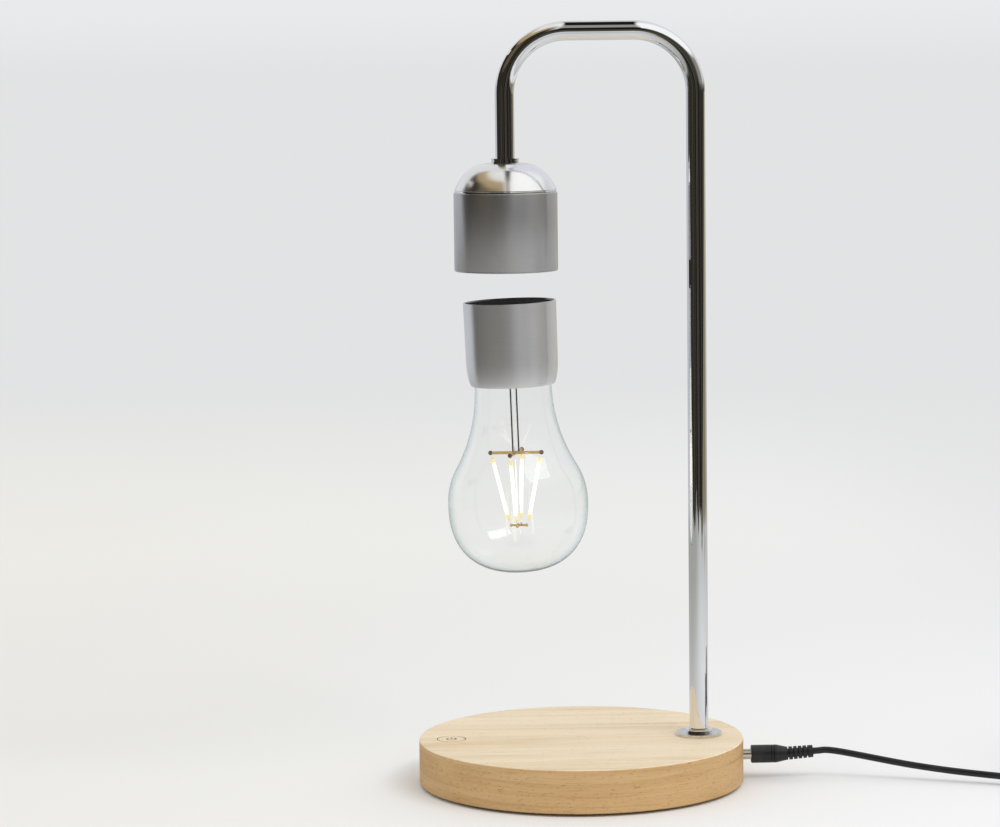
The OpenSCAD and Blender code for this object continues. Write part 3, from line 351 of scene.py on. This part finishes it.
def turned_steel():
    """The foot washer's face: fine grooves turned round the riser."""
    groove_pitch = 0.9 * MM
    m = material("turned_washer")
    at = m.place()
    reach = m.distance(m.scaled(at, (1, 1, 0)), RISER_FOOT)
    groove = m.maths("SINE", reach * (math.tau / groove_pitch))
    wear = m.noise(at, scale=700, detail=3)
    return m.finish(
        colour=m.mix(m.spread(wear), (0.74, 0.75, 0.76), (0.60, 0.61, 0.62)), metallic=1.0,
        roughness=m.spread(wear, 0.12, 0.22), normal=m.bump(groove * 0.5 + wear, 0.05 * MM, 0.5),
    )


def moulded(name, colour, worn, rough, scale=1400, depth=0.03 * MM, metallic=0.0):
    """A plain finish with a fine grain: moulded plastic, rubber, plated or cast metal."""
    clouds_to_grain = 28
    m = material(name)
    at = m.place()
    grain = m.noise(at, scale=scale, detail=3, roughness=0.6)
    clouds = m.noise(at, scale=scale / clouds_to_grain, detail=3)
    return m.finish(
        colour=m.mix(m.step(clouds * 0.6 + grain * 0.4, 0.35, 0.7), colour, worn),
        metallic=metallic, roughness=m.spread(clouds, *rough), normal=m.bump(grain, depth, 0.5),
    )


def matt_black():
    """Black fleece on the bulb's lid, which throws back almost no light."""
    m = material("matt_black")
    nap = m.noise(m.place(), scale=2400, detail=3)
    return m.finish(
        colour=m.mix(m.step(nap, 0.35, 0.65), (0.006, 0.006, 0.007), (0.014, 0.014, 0.015)),
        roughness=m.spread(nap, 0.85, 0.95), specular=0.08, normal=m.bump(nap, 0.05 * MM, 0.5),
    )


def board_green():
    """Solder mask with copper tracks showing through, and tin pads."""
    m = material("board_green")
    at = m.place()
    cells = m.node("TexVoronoi", {"feature": "F1", "distance": "CHEBYCHEV"},
                   {"Vector": at, "Scale": 420.0}, output="Distance")
    pad = m.step(cells, 0.16, 0.12)
    tracks = m.node("TexBrick", {}, {"Vector": at, "Scale": 240.0, "Mortar Size": 0.03}, output="Fac")
    shade = m.mix(tracks * 0.6, (0.03, 0.20, 0.09), (0.02, 0.13, 0.06))
    return m.finish(
        colour=m.mix(pad * 0.7, shade, (0.62, 0.60, 0.52)), roughness=m.step(pad, 0, 1, 0.38, 0.3),
        coat=0.3, coat_roughness=0.2, normal=m.bump(tracks, 0.03 * MM, 0.4),
    )


def copper_winding():
    """Lacquered copper wire wound in turns about an upright axis, with painted shade in the grooves
    between turns.
    """
    m = material("copper_winding")
    at = m.place()
    turns = m.node("TexWave", {"wave_type": "BANDS", "bands_direction": "Z", "wave_profile": "SIN"},
                   {"Vector": at, "Scale": 700.0, "Distortion": 0.4, "Detail": 1.0})
    tint = m.noise(m.scaled(at, (40, 40, 1800)), detail=2)
    shade = m.mix(m.spread(tint), (0.68, 0.28, 0.12), (0.55, 0.20, 0.08))
    # Painted shade: the grooves between the turns are drawn darker.
    shade = m.mix(m.step(turns, 0.35, 0.0, 0, 0.6), shade, (0.20, 0.06, 0.025))
    return m.finish(
        colour=shade, metallic=0.85, roughness=m.spread(tint, 0.25, 0.38),
        normal=m.bump(turns, 0.08 * MM, 0.7),
    )


# Finishes of the bulb and cord

THICK_GLASS_FROM = -128 * MM
THICK_GLASS_TO = -139 * MM
BEADS_FROM = 12.6 * MM


def clear_glass():
    """Clear lamp glass, its thick tip faintly green at its edge. Lamp light passes straight through."""
    m = material("clear_glass_wall")
    height = m.vector_maths("DOT_PRODUCT", m.place(), BULB_AXIS) - BULB.translation.dot(BULB_AXIS)
    thick = m.step(height, THICK_GLASS_FROM, THICK_GLASS_TO)
    edge = m.step(m.node("LayerWeight", {}, {"Blend": 0.5}, output="Facing"), 0.55, 0.95)
    tint = m.mix(thick * edge, (0.988, 0.994, 0.99), (0.55, 0.74, 0.73))
    glass = m.principled(colour=tint, roughness=0.0, ior=1.36, transmission=1.0)
    open_air = m.node("BsdfTransparent", {}, {"Color": (0.96, 0.97, 0.965)})
    m.end(m.node("MixShader", {}, {0: m.light_path("Shadow"), 1: glass, 2: open_air}))
    return m.owner


def cross_gold():
    """Gilt cross bars that end in dark, glassy beads."""
    m = material("cross_gold")
    at = m.place()
    from_rim = m.vector_maths("SUBTRACT", at, BULB.translation, output="Vector")
    across = m.vector_maths("CROSS_PRODUCT", from_rim, BULB_AXIS, output="Vector")
    bead = m.step(m.vector_maths("LENGTH", across), BEADS_FROM, BEADS_FROM + 0.3 * MM)
    grain = m.noise(at, scale=2500, detail=2)
    gold = m.mix(m.spread(grain), (0.62, 0.44, 0.17), (0.50, 0.33, 0.11))
    return m.finish(
        colour=m.mix(bead, gold, (0.09, 0.045, 0.02)), metallic=1 - bead,
        roughness=m.spread(grain, 0.25, 0.4), normal=m.bump(grain, 0.02 * MM, 0.4),
    )


def lit_strip():
    """Phosphor over a glass strip, lit: white hot along its length and creamy at its ends."""
    m = material("lit_strip")
    at = m.place()
    ends = m.step(abs(m.part(at, "Z")), 10.0 * MM, 14.6 * MM)
    clumps = m.noise(at, scale=3000, detail=2)
    glow = m.mix(ends, (1.0, 0.95, 0.84), (0.62, 0.47, 0.20))
    glow = m.mix(m.spread(clumps, 0, 0.12), glow, (1.0, 0.82, 0.45))
    return m.finish(
        colour=(0.95, 0.80, 0.42), roughness=0.5, glow=glow, glow_strength=1.7,
        normal=m.bump(clumps, 0.02 * MM, 0.3),
    )


def painted_glow_tab():
    """Gilt filament ends and hooks, with a painted warm glow that stands in for the light of the strips
    on them.
    """
    m = material("painted_glow_tab")
    grain = m.noise(m.place(), scale=2600, detail=2)
    # Painted light: the metal tabs glow, though they are no lamp.
    return m.finish(
        colour=m.mix(m.spread(grain), (0.86, 0.64, 0.28), (0.68, 0.47, 0.17)), metallic=0.9,
        roughness=m.spread(grain, 0.25, 0.4), glow_strength=0.45,
        glow=m.mix(m.spread(grain), (1.0, 0.86, 0.55), (0.8, 0.64, 0.34)),
    )


def cord_skin():
    """Soft black PVC with a fine matt skin, greyer where it is rubbed."""
    black = (0.008, 0.008, 0.010)
    rubbed = tuple(1.7 * c + 0.004 for c in black)
    m = material("cord_pvc")
    at = m.place()
    grain = m.noise(at, scale=3800, detail=2)
    rub = m.noise(at, scale=90, detail=3)
    return m.finish(
        colour=m.mix(m.step(rub, 0.4, 0.75), black, rubbed), roughness=m.spread(rub, 0.38, 0.5),
        normal=m.bump(grain, 0.02 * MM, 0.4),
    )


# Meshes


def piece(name, points, faces, finish):
    """A smooth mesh object in the scene."""
    mesh = bpy.data.meshes.new(name)
    mesh.from_pydata(points, [], faces)
    mesh.update()
    for face in mesh.polygons:
        face.use_smooth = True
    mesh.materials.append(finish)
    made = bpy.data.objects.new(name, mesh)
    bpy.context.scene.collection.objects.link(made)
    return made


def turned(profile, sides, base=0):
    """Points and faces of a closed shape turned about Z from (radius, height) points.

    The faces number their points from base on, so that several shapes can share one mesh.
    """
    points, faces = [], []
    rows = []
    for r, z in profile:
        if r < 1e-9:
            rows.append([base + len(points)] * sides)
            points.append((0, 0, z))
        else:
            rows.append([base + len(points) + k for k in range(sides)])
            points += [
                (r * math.cos(math.tau * k / sides), r * math.sin(math.tau * k / sides), z)
                for k in range(sides)
            ]
    for low, high in zip(rows, rows[1:]):
        for k in range(sides):
            n = (k + 1) % sides
            corners = list(dict.fromkeys((low[k], low[n], high[n], high[k])))
            if len(corners) > 2:
                faces.append(corners)
    return points, faces


def curve_point(a, b, c, d, t):
    """A point between b and c on the smooth curve through a, b, c and d."""
    return 0.5 * (
        2 * b + (c - a) * t + (2 * a - 5 * b + 4 * c - d) * t**2 + (3 * b - a - 3 * c + d) * t**3
    )


def smooth_route(stops, steps=5):
    """A smooth curve through the stops, with that many steps from each to the next."""
    route = []
    for i in range(len(stops) - 1):
        around = [stops[max(i - 1, 0)], stops[i], stops[i + 1], stops[min(i + 2, len(stops) - 1)]]
        route += [curve_point(*around, k / steps) for k in range(steps)]
    return route + [stops[-1]]


# Cord, its route in millimetres

CORD_D = 3.5
COIL_AT = Vector((265.0, -10.0, 2.65))
COIL_OUT_R = 26.253
COIL_IN_R = 15.747
COIL_LAYERS = 4
COIL_TURNS = 10.25
COIL_STEPS = 48
LAYER_TURNS = COIL_TURNS / COIL_LAYERS
LAYER_STEP = 4.0
CLIMB = 0.5
RELIEF_OUT = Vector((122.76590, 0.0, 14.17659))
RELIEF_TILT = math.radians(4)
CORD_STOPS = (
    (135, -0.9, 14.2), (141, -2.2, 13.3), (148, -3.8, 12.1), (155, -5.6, 10.9), (163, -7.9, 9.6),
    (171, -10.4, 8.4), (179, -13, 7.4), (187, -15.9, 6.6), (195, -18.8, 5.9), (203, -21.9, 5.4),
    (211, -25.2, 5), (219, -28.4, 4.6), (227, -31.6, 4.1), (235, -34.1, 3.4), (243, -35.2, 2.8),
    (251, -36.253, 2.65), (255, -36.253, 2.65), (259, -36.253, 2.65),
)
ADAPTER_X = 291.25
TAIL_YS = (3.5, 7.0)


def climbed(turns):
    """How many layers the coil has climbed after that many turns."""
    total = 0
    for layer in range(1, COIL_LAYERS):
        t = min(max((turns - layer * LAYER_TURNS) / CLIMB + 0.5, 0), 1)
        total += t * t * (3 - 2 * t)
    return total


def coil_point(turns):
    """The coil's middle line after that many turns: inward on one layer, outward on the next."""
    layer = min(math.floor(turns / LAYER_TURNS), COIL_LAYERS - 1)
    part = turns / LAYER_TURNS - layer
    inward = part if layer % 2 == 0 else 1 - part
    r = COIL_OUT_R - (COIL_OUT_R - COIL_IN_R) * inward
    angle = math.tau * turns - math.pi / 2
    return COIL_AT + Vector((r * math.cos(angle), r * math.sin(angle), LAYER_STEP * climbed(turns)))


def cord_route():
    """The cord's middle line, from the strain relief to the adapter."""
    out = CORD_D * Vector((math.cos(RELIEF_TILT), 0, math.sin(RELIEF_TILT)))
    run = [RELIEF_OUT + i * out for i in range(3)] + [Vector(stop) for stop in CORD_STOPS]
    coil = [coil_point(i / COIL_STEPS) for i in range(int(COIL_TURNS * COIL_STEPS) + 1)]
    top = COIL_AT.z + LAYER_STEP * (COIL_LAYERS - 1)
    return smooth_route(run) + coil + [Vector((ADAPTER_X, y, top)) for y in TAIL_YS]


def lay_cord(skin):
    """The cord as one round curve along its route, from the plug to the wall adapter."""
    line = [p * MM for p in cord_route()]
    curve = bpy.data.curves.new("power_cord", "CURVE")
    curve.dimensions = "3D"
    curve.bevel_depth = CORD_D / 2 * MM
    curve.bevel_resolution = 5
    curve.use_fill_caps = True
    spline = curve.splines.new("POLY")
    spline.points.add(len(line) - 1)
    for point, place in zip(spline.points, line):
        point.co = (*place, 1)
    spline.use_smooth = True
    curve.materials.append(skin)
    cord = bpy.data.objects.new("power_cord", curve)
    bpy.context.scene.collection.objects.link(cord)
    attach(cord, "plug")
    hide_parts("cord_run", "cord_coil")


# Bulb, its glass in millimetres

NECK_R = 20.1
NECK_TOP = 27.0
FLARE_R = 84.0
BALL_R = 36.7
BULB_LEN = 142.1
BALL_DEEP = BULB_LEN - BALL_R
FLARE_STEPS, BALL_STEPS, TIP_STEPS = 18, 20, 44
GLASS_SIDES = 144

# How far the faces of the glass are set in, at the side and at the tip, and how square the tip is
OUTER_FACE = (0, 0, 2.42)
INNER_FACE = (0.6, 1.0, 2.44)

FILAMENT_TOP = Vector((12.8, 0, -82.5)) * MM
FILAMENT_LOW = Vector((5.6, 0, -114.2)) * MM
STRIP_R = 0.82 * MM
END_R = 0.95 * MM
END_LEN = 2.2 * MM
HOOK_R = 0.22 * MM
FILAMENT_SIDES = 24


def round_quarter(r, h, power):
    """Points of a bulging quarter curve, from (r, 0) down to (0, -h)."""
    curve = []
    for i in range(1, TIP_STEPS + 1):
        a = math.pi / 2 * i / TIP_STEPS
        curve.append((r * max(math.cos(a), 0) ** (2 / power), -h * math.sin(a) ** (2 / power)))
    curve[-1] = (0, -h)
    return curve


def glass_face(inset, tip_inset, power):
    """One face of the glass from its neck down to its tip: flare, ball and flattened tip."""
    rise = math.sqrt((BALL_R + FLARE_R) ** 2 - (NECK_R + FLARE_R) ** 2)
    turn = math.atan2(rise, NECK_R + FLARE_R)
    ball_r = BALL_R - inset
    flare_r = FLARE_R + inset
    points = [(NECK_R - inset, -NECK_TOP)]
    for i in range(FLARE_STEPS + 1):
        a = turn * i / FLARE_STEPS
        r = NECK_R + FLARE_R - flare_r * math.cos(a)
        points.append((r, rise - BALL_DEEP - flare_r * math.sin(a)))
    for i in range(1, BALL_STEPS + 1):
        a = turn * (1 - i / BALL_STEPS)
        points.append((ball_r * math.cos(a), ball_r * math.sin(a) - BALL_DEEP))
    for r, z in round_quarter(ball_r, BALL_R - tip_inset, power):
        points.append((r, z - BALL_DEEP))
    return [(r * MM, z * MM) for r, z in points]


def blow_glass(glass):
    """The clear envelope: a thin wall with a thicker, slightly flattened tip."""
    outline = glass_face(*OUTER_FACE)[::-1] + glass_face(*INNER_FACE)
    points, faces = turned(outline, GLASS_SIDES)
    envelope = piece("glass_bulb", points, faces, glass)
    envelope.matrix_world = BULB
    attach(envelope, "bulb")
    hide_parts("glass_envelope")


def filament_outlines(half):
    """Outlines of the lit strip, its lower end and its upper end, which lie half from the middle."""
    rounding = STRIP_R * 0.6
    straight = half - END_LEN + 0.3 * MM - rounding
    corner = [
        (STRIP_R * math.cos(a), straight + rounding * math.sin(a))
        for a in (math.radians(15 * i) for i in range(7))
    ]
    strip = [(r, -z) for r, z in reversed(corner)] + corner
    upper = [
        (0, half - END_LEN), (END_R * 0.8, half - END_LEN), (END_R, half - END_LEN + 0.25 * MM),
        (END_R, half - 0.35 * MM), (END_R * 0.7, half), (HOOK_R, half + 0.1 * MM),
        (HOOK_R, half + 1.0 * MM), (0, half + 1.05 * MM),
    ]
    lower = [(r, -z) for r, z in reversed(upper)]
    lower[:2] = [(0, -half - 1.6 * MM), (HOOK_R, -half - 1.55 * MM)]
    return strip, lower, upper


def light_filaments(glowing, metal):
    """Four lit strips with metal ends and hooks that carry a painted glow, from the beads of the upper
    cross to the lower.
    """
    span = FILAMENT_TOP - FILAMENT_LOW
    points, faces, glow_faces = [], [], 0
    for outline in filament_outlines(span.length / 2):
        more_points, more_faces = turned(outline, FILAMENT_SIDES, len(points))
        points += more_points
        faces += more_faces
        glow_faces = glow_faces or len(faces)
    lean = UP.rotation_difference(span.normalized()).to_matrix().to_4x4()
    centre = Matrix.Translation((FILAMENT_TOP + FILAMENT_LOW) / 2)
    for n in range(4):
        strip = piece(f"lit_filament_{n + 1}", points, faces, glowing)
        # The ends and hooks take the tab finish with its painted glow.
        strip.data.materials.append(metal)
        for face in strip.data.polygons[glow_faces:]:
            face.material_index = 1
        turn = Matrix.Rotation(CROSS_TURN + n * math.pi / 2, 4, "Z")
        strip.matrix_world = BULB @ turn @ centre @ lean
        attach(strip, "bulb")
        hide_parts(f"filament_{n + 1}")


# Head, its outlines as radius and height in millimetres

HEAD_SIDES = 160
DOME_CURVE = (
    (26.6, 313.3), (25.3, 315.9), (23.6, 318.8), (21.5, 321.5), (19.1, 323.75),
    (16.3, 325.45), (13.1, 326.6), (10.0, 327.1), (6.8, 327.3), (5.6, 327.3),
)
DOME_RIM = [(24.6, 313.1), (26.3, 313.1), (26.52, 313.15)]
DOME_INSIDE = [(5.6, 326.3), (16.0, 324.3), (24.6, 315.0), (24.6, 313.1)]
TRIM = [
    (25.2, 311.9), (26.35, 311.9), (26.4, 312.0), (26.4, 313.05), (26.3, 313.15),
    (25.2, 313.15), (25.2, 311.9),
]
SLEEVE = [
    (26.0, 271.9), (26.15, 271.45), (26.45, 271.3), (26.75, 271.4), (26.88, 271.65),
    (26.78, 271.95), (27.0, 272.15), (27.0, 311.6), (26.9, 311.9), (26.6, 312.05),
    (26.0, 312.05), (26.0, 271.9),
]


def turn_head(dome_finish, trim_finish, sleeve_finish):
    """The dome, the thin band under it and the satin sleeve with its rounded, bright lower rim."""
    axis = middle("head_dome")
    curve = smooth_route([Vector((r, 0, z)) for r, z in DOME_CURVE])
    dome = DOME_RIM + [(p.x, p.z) for p in curve] + DOME_INSIDE
    for name, outline, finish, node, slot in (
        ("polished_dome", dome, dome_finish, "head_dome", "chrome"),
        ("trim_band", TRIM, trim_finish, "trim_ring", "chrome"),
        ("satin_sleeve", SLEEVE, sleeve_finish, "head_sleeve", "satin_metal"),
    ):
        points, faces = turned([(r * MM, z * MM) for r, z in outline], HEAD_SIDES)
        made = piece(name, points, faces, finish)
        made.matrix_world = Matrix.Translation((axis.x, axis.y, 0))
        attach(made, "lamp")
        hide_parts(node)


# Studio. Directions are in degrees: azimuth from straight in front, rightwards, and height

FLOOR_R = 4.0
FAR_PAPER = (0.765, 0.767, 0.775)
BLACK = (0.0, 0.0, 0.0)


def mirrored_rays(m):
    """One for what shiny metal mirrors, and nothing for what is seen straight or through glass."""
    return m.light_path("Glossy") * (1 - m.light_path("Transmission"))


def pale_floor():
    """A pale paper sweep, drawn as one wide disc that fades into the studio's far wall.

    Near the lamp the paper is lit and takes shadows. Further off it glows in a set tone, with painted
    shade: darker far off and at the back on the right. Shiny metal sees it only out to its uneven edge
    in front of the lamp, and a little darker.
    """
    m = material("studio_paper")
    at = m.place()
    x, y = m.part(at, "X"), m.part(at, "Y")
    mirrored = mirrored_rays(m)
    reach = m.distance(at, RISER_FOOT)

    # Painted shade: the paper is darker far off and at the back on the right, where the light falls
    # away. It is a little warmer to the left.
    paper = m.mix(m.step(x, -0.45, 0.25), (0.842, 0.836, 0.79), (0.855, 0.855, 0.852))
    paper = m.mix(m.step(x, 0.2, 0.5) * m.step(y, 0.1, 0.9), paper, (0.80, 0.80, 0.80))
    paper = m.mix(m.step(y, 0.75, 2.3), paper, FAR_PAPER)
    dim = m.step(reach, 0.15, 0.9, 0.76, 0.60) * m.step(x, -0.5, 0.4, 0.78, 1.12)
    paper = m.mix(mirrored * (1 - dim), paper, BLACK)

    lit = m.node("BsdfDiffuse", {}, {"Color": paper})
    glowing_painted_tone = m.node("Emission", {}, {"Color": paper, "Strength": 1.0})
    share = m.step(m.distance(at, (0, 0, 0)), 0.3, 0.95)
    shown = m.node("MixShader", {}, {0: share, 1: lit, 2: glowing_painted_tone})
    ragged = m.noise(m.scaled(at, (1.9, 1.9, 1)), detail=3, roughness=0.6) * 1.1 - 0.55
    beyond = m.step(reach + ragged, 0.93, 1.03) * mirrored
    m.end(m.node("MixShader", {}, {0: beyond, 1: shown, 2: m.node("BsdfTransparent")}))

    points, faces = turned([(0, 0), (0.5, 0), (1.5, 0), (FLOOR_R, 0)], 96)
    floor = piece("studio_floor", points, faces, m.owner)


def room_in_front(m, azimuth, height):
    """The dim room at eye level, streaked, with a tan wall to its right."""
    sockets = {"W": azimuth * 0.085, "Scale": 1.0, "Detail": 4.0, "Roughness": 0.7}
    streak = m.node("TexNoise", {"noise_dimensions": "1D"}, sockets)
    room = m.mix(m.step(streak, 0.44, 0.62), (0.006, 0.006, 0.009), (0.085, 0.075, 0.050))
    room = m.mix(m.step(streak, 0.36, 0.30), room, (0.035, 0.022, 0.026))
    tan_wall = m.mix(m.step(azimuth, 98, 130), (0.24, 0.22, 0.15), (0.50, 0.48, 0.39))
    return m.mix(m.step(azimuth - height * 9, 119, 128), room, tan_wall)


def room_up_left(m, azimuth, height):
    """Dark with a brown patch, golden under its ceiling, and a slanting band of window light."""
    brown_patch = m.near(azimuth, -58, 12, 26) * m.near(height, 32, 8, 18)
    room = m.mix(brown_patch, (0.026, 0.023, 0.016), (0.13, 0.10, 0.065))
    room = m.mix(m.step(height, 43, 51), room, (0.44, 0.33, 0.175))
    room = m.mix(m.step(height, 57, 70), room, (0.85, 0.84, 0.80))
    window = m.near(azimuth, -125, 16, 24) * m.near(height - azimuth * 0.24, 62, 1.6, 3.0)
    return m.mix(window, room, (0.85, 0.80, 0.70))


def room_up_right(m, azimuth, height):
    """A soft box over a darker shelf."""
    room = m.mix(m.step(azimuth, 38, 62), (0.050, 0.046, 0.040), (0.27, 0.255, 0.215))
    room = m.mix(m.step(azimuth, 90, 110), room, (0.62, 0.62, 0.60))
    room = m.mix(m.step(height, 24, 33), room, (1.05, 1.05, 1.03))
    return m.mix(m.step(azimuth, 100, 150), room, (0.76, 0.765, 0.83))


def room_overhead(m, over):
    """The arc straight over the lamp from front to back, which the bridge of the arm mirrors."""
    arc = m.mix(m.step(over, 30, 38), (0.012, 0.011, 0.010), (0.33, 0.31, 0.29))
    arc = m.mix(m.step(over, 62, 70), arc, (0.010, 0.010, 0.010))
    return m.mix(m.step(over, 116, 126), arc, (0.66, 0.66, 0.69))


def mirrored_room(m):
    """What shiny metal mirrors in each direction."""
    way = m.node("TexCoord", output="Generated")
    x, y, z = (m.part(way, axis) for axis in "XYZ")
    degrees = 180 / math.pi
    azimuth = m.maths("ARCTAN2", x, 0 - y) * degrees
    height = m.maths("ARCSINE", z) * degrees
    over = m.maths("ARCTAN2", z, 0 - y) * degrees

    up = m.mix(m.step(x, -0.15, 0.08), room_up_left(m, azimuth, height),
               room_up_right(m, azimuth, height))
    room = m.mix(m.step(height, 1, 7), room_in_front(m, azimuth, height), up)
    room = m.mix(m.near(x, 0.065, 0.05, 0.09) * m.step(over, 8, 10), room, room_overhead(m, over))

    # The pale wall on the left, and the pale floor below
    wall = m.mix(m.step(height, 0, 12), (0.55, 0.56, 0.60), (0.77, 0.78, 0.80))
    room = m.mix(m.step(azimuth + height * 0.5, -106, -116), room, wall)
    low_left, low_right = m.step(height, -13, -28), m.step(height, -9.5, -12.5)
    low = low_left + (low_right - low_left) * m.step(x, -0.05, 0.05)
    room = m.mix(low, room, m.mix(m.step(x, -0.6, 0.7), (0.40, 0.40, 0.39), (0.84, 0.84, 0.87)))
    paper = m.mix(m.step(height, -0.6, 0.7), FAR_PAPER, (0.815, 0.82, 0.84))
    return paper, room


def studio_world():
    """The room by direction: pale paper to the eye, the mirrored room for metal, plain for the rest."""
    m = Recipe(bpy.data.worlds.new("studio_room"))
    bpy.context.scene.world = m.owner
    paper, room = mirrored_room(m)
    camera = m.light_path("Camera")
    seen = m.mix(camera, m.mix(mirrored_rays(m), paper, room), paper)
    plain = (1 - camera) * (1 - m.light_path("Glossy")) * (1 - m.light_path("Transmission"))
    lit = m.mix(plain, seen, (0.86, 0.86, 0.87))
    m.end(m.node("Background", {}, {"Color": lit, "Strength": 1.0}))


def key_light():
    """A soft box high on the right in front, which shiny metal doesn't mirror."""
    lamp = bpy.data.lights.new("key_softbox", "AREA")
    lamp.shape = "RECTANGLE"
    lamp.size, lamp.size_y = 1.1, 0.45
    lamp.energy = 7.5
    box = bpy.data.objects.new("key_softbox", lamp)
    bpy.context.scene.collection.objects.link(box)
    place = Vector((0.745, -0.757, 1.315))
    way = Vector((0, 0, 0.13)) - place
    box.matrix_world = Matrix.Translation(place) @ way.to_track_quat("-Z", "Y").to_matrix().to_4x4()
    box.visible_camera = False
    box.visible_glossy = False


# The CAD nodes' finishes


def soften(node_names, width):
    """Rounds the sharp edges of CAD nodes a little, as turning and moulding leave them."""
    for name in node_names.split():
        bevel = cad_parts[name].modifiers.new("soft_edge", "BEVEL")
        bevel.width = width
        bevel.segments = 2
        bevel.limit_method = "ANGLE"
        bevel.angle_limit = math.radians(40)


def dress(node_names, finish):
    """Gives CAD nodes their finish."""
    for name in node_names.split():
        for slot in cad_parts[name].material_slots:
            slot.material = finish


# Nodes, and their finish: its name, colour, worn colour and range of roughness
PLASTIC_NODES = (
    ("base_cover head_disc dc_jack",
     "black_moulding", (0.02, 0.02, 0.021), (0.03, 0.03, 0.031), (0.35, 0.5)),
    ("base_feet head_cable",
     "black_rubber", (0.02, 0.02, 0.02), (0.035, 0.034, 0.033), (0.7, 0.85)),
    ("board_chips", "chip_resin", (0.018, 0.018, 0.02), (0.03, 0.03, 0.032), (0.5, 0.65)),
    ("board_capacitors", "blue_sleeve", (0.02, 0.05, 0.22), (0.03, 0.07, 0.28), (0.25, 0.35)),
    ("board_connectors coil_bobbin magnet_cup",
     "ivory_nylon", (0.80, 0.77, 0.66), (0.74, 0.70, 0.58), (0.4, 0.55)),
    ("touch_lead", "yellow_wire", (0.85, 0.62, 0.05), (0.75, 0.52, 0.03), (0.4, 0.5)),
    ("jack_leads", "red_wire", (0.55, 0.03, 0.02), (0.45, 0.02, 0.02), (0.4, 0.5)),
)
METAL_NODES = (
    ("cover_screws board_screws jack_nut lock_washer tube_nut head_nut",
     "zinc_steel", (0.62, 0.62, 0.61), (0.5, 0.5, 0.49), (0.25, 0.4)),
    ("jack_pin", "contact_brass", (0.72, 0.56, 0.28), (0.6, 0.45, 0.2), (0.2, 0.3)),
    ("plug_barrel adapter_blades",
     "contact_nickel", (0.78, 0.74, 0.64), (0.66, 0.61, 0.5), (0.16, 0.26)),
    ("coil_core", "iron", (0.32, 0.31, 0.30), (0.24, 0.22, 0.21), (0.4, 0.55)),
    ("bulb_magnet", "magnet_plate", (0.72, 0.72, 0.71), (0.62, 0.62, 0.6), (0.15, 0.25)),
)


def dress_nodes(skin, glass, polish):
    """Every finish of the CAD nodes that the scene shows as they are."""
    dress("base_body", light_wood())
    dress("arm_tube foot_ring leg_collar", polish)
    dress("foot_washer", turned_steel())
    dress("bulb_cap", spun_metal("satin_cap", (0.86, 0.865, 0.885), (0.80, 0.805, 0.825)))
    dress("glass_stem", glass)
    dress("upper_cross lower_cross", cross_gold())
    dress("plug_body cord_relief adapter_relief", skin)
    dress("bulb_lid", matt_black())
    dress("main_board hall_sensor head_board receiver_board adapter_board", board_green())
    dress("touch_plate magnet_coil power_coil receiver_coil", copper_winding())
    for node_names, *finish in PLASTIC_NODES:
        dress(node_names, moulded(*finish))
    for node_names, *finish in METAL_NODES:
        dress(node_names, moulded(*finish, metallic=1.0))
    dress("neck_seal", moulded(
        "white_cement", (0.78, 0.77, 0.73), (0.7, 0.69, 0.64), (0.75, 0.9), depth=0.1 * MM))
    dress("supply_wires", moulded(
        "dark_wire", (0.035, 0.030, 0.027), (0.02, 0.017, 0.015), (0.35, 0.5), metallic=0.5))
    dress("cord_tie", moulded(
        "tie_black", (0.02, 0.02, 0.021), (0.035, 0.035, 0.036), (0.6, 0.8), depth=0.08 * MM))
    dress("adapter_back adapter_front", moulded(
        "adapter_plastic", (0.022, 0.022, 0.023), (0.03, 0.03, 0.031), (0.42, 0.52),
        scale=2400, depth=0.04 * MM))


place_camera()
cord_finish = cord_skin()
glass_finish = clear_glass()
chrome_finish = chrome()
sleeve_satin = spun_metal("satin_sleeve", (0.555, 0.555, 0.56), (0.495, 0.495, 0.505))

lay_cord(cord_finish)
light_filaments(lit_strip(), painted_glow_tab())
blow_glass(glass_finish)
turn_head(dome_chrome(), chrome_finish, sleeve_satin)
dress_nodes(cord_finish, glass_finish, chrome_finish)
soften("foot_washer foot_ring leg_collar", 0.15 * MM)
soften("adapter_back adapter_front", 0.5 * MM)

pale_floor()
studio_world()
key_light()
bpy.context.scene.view_settings.view_transform = "Standard"
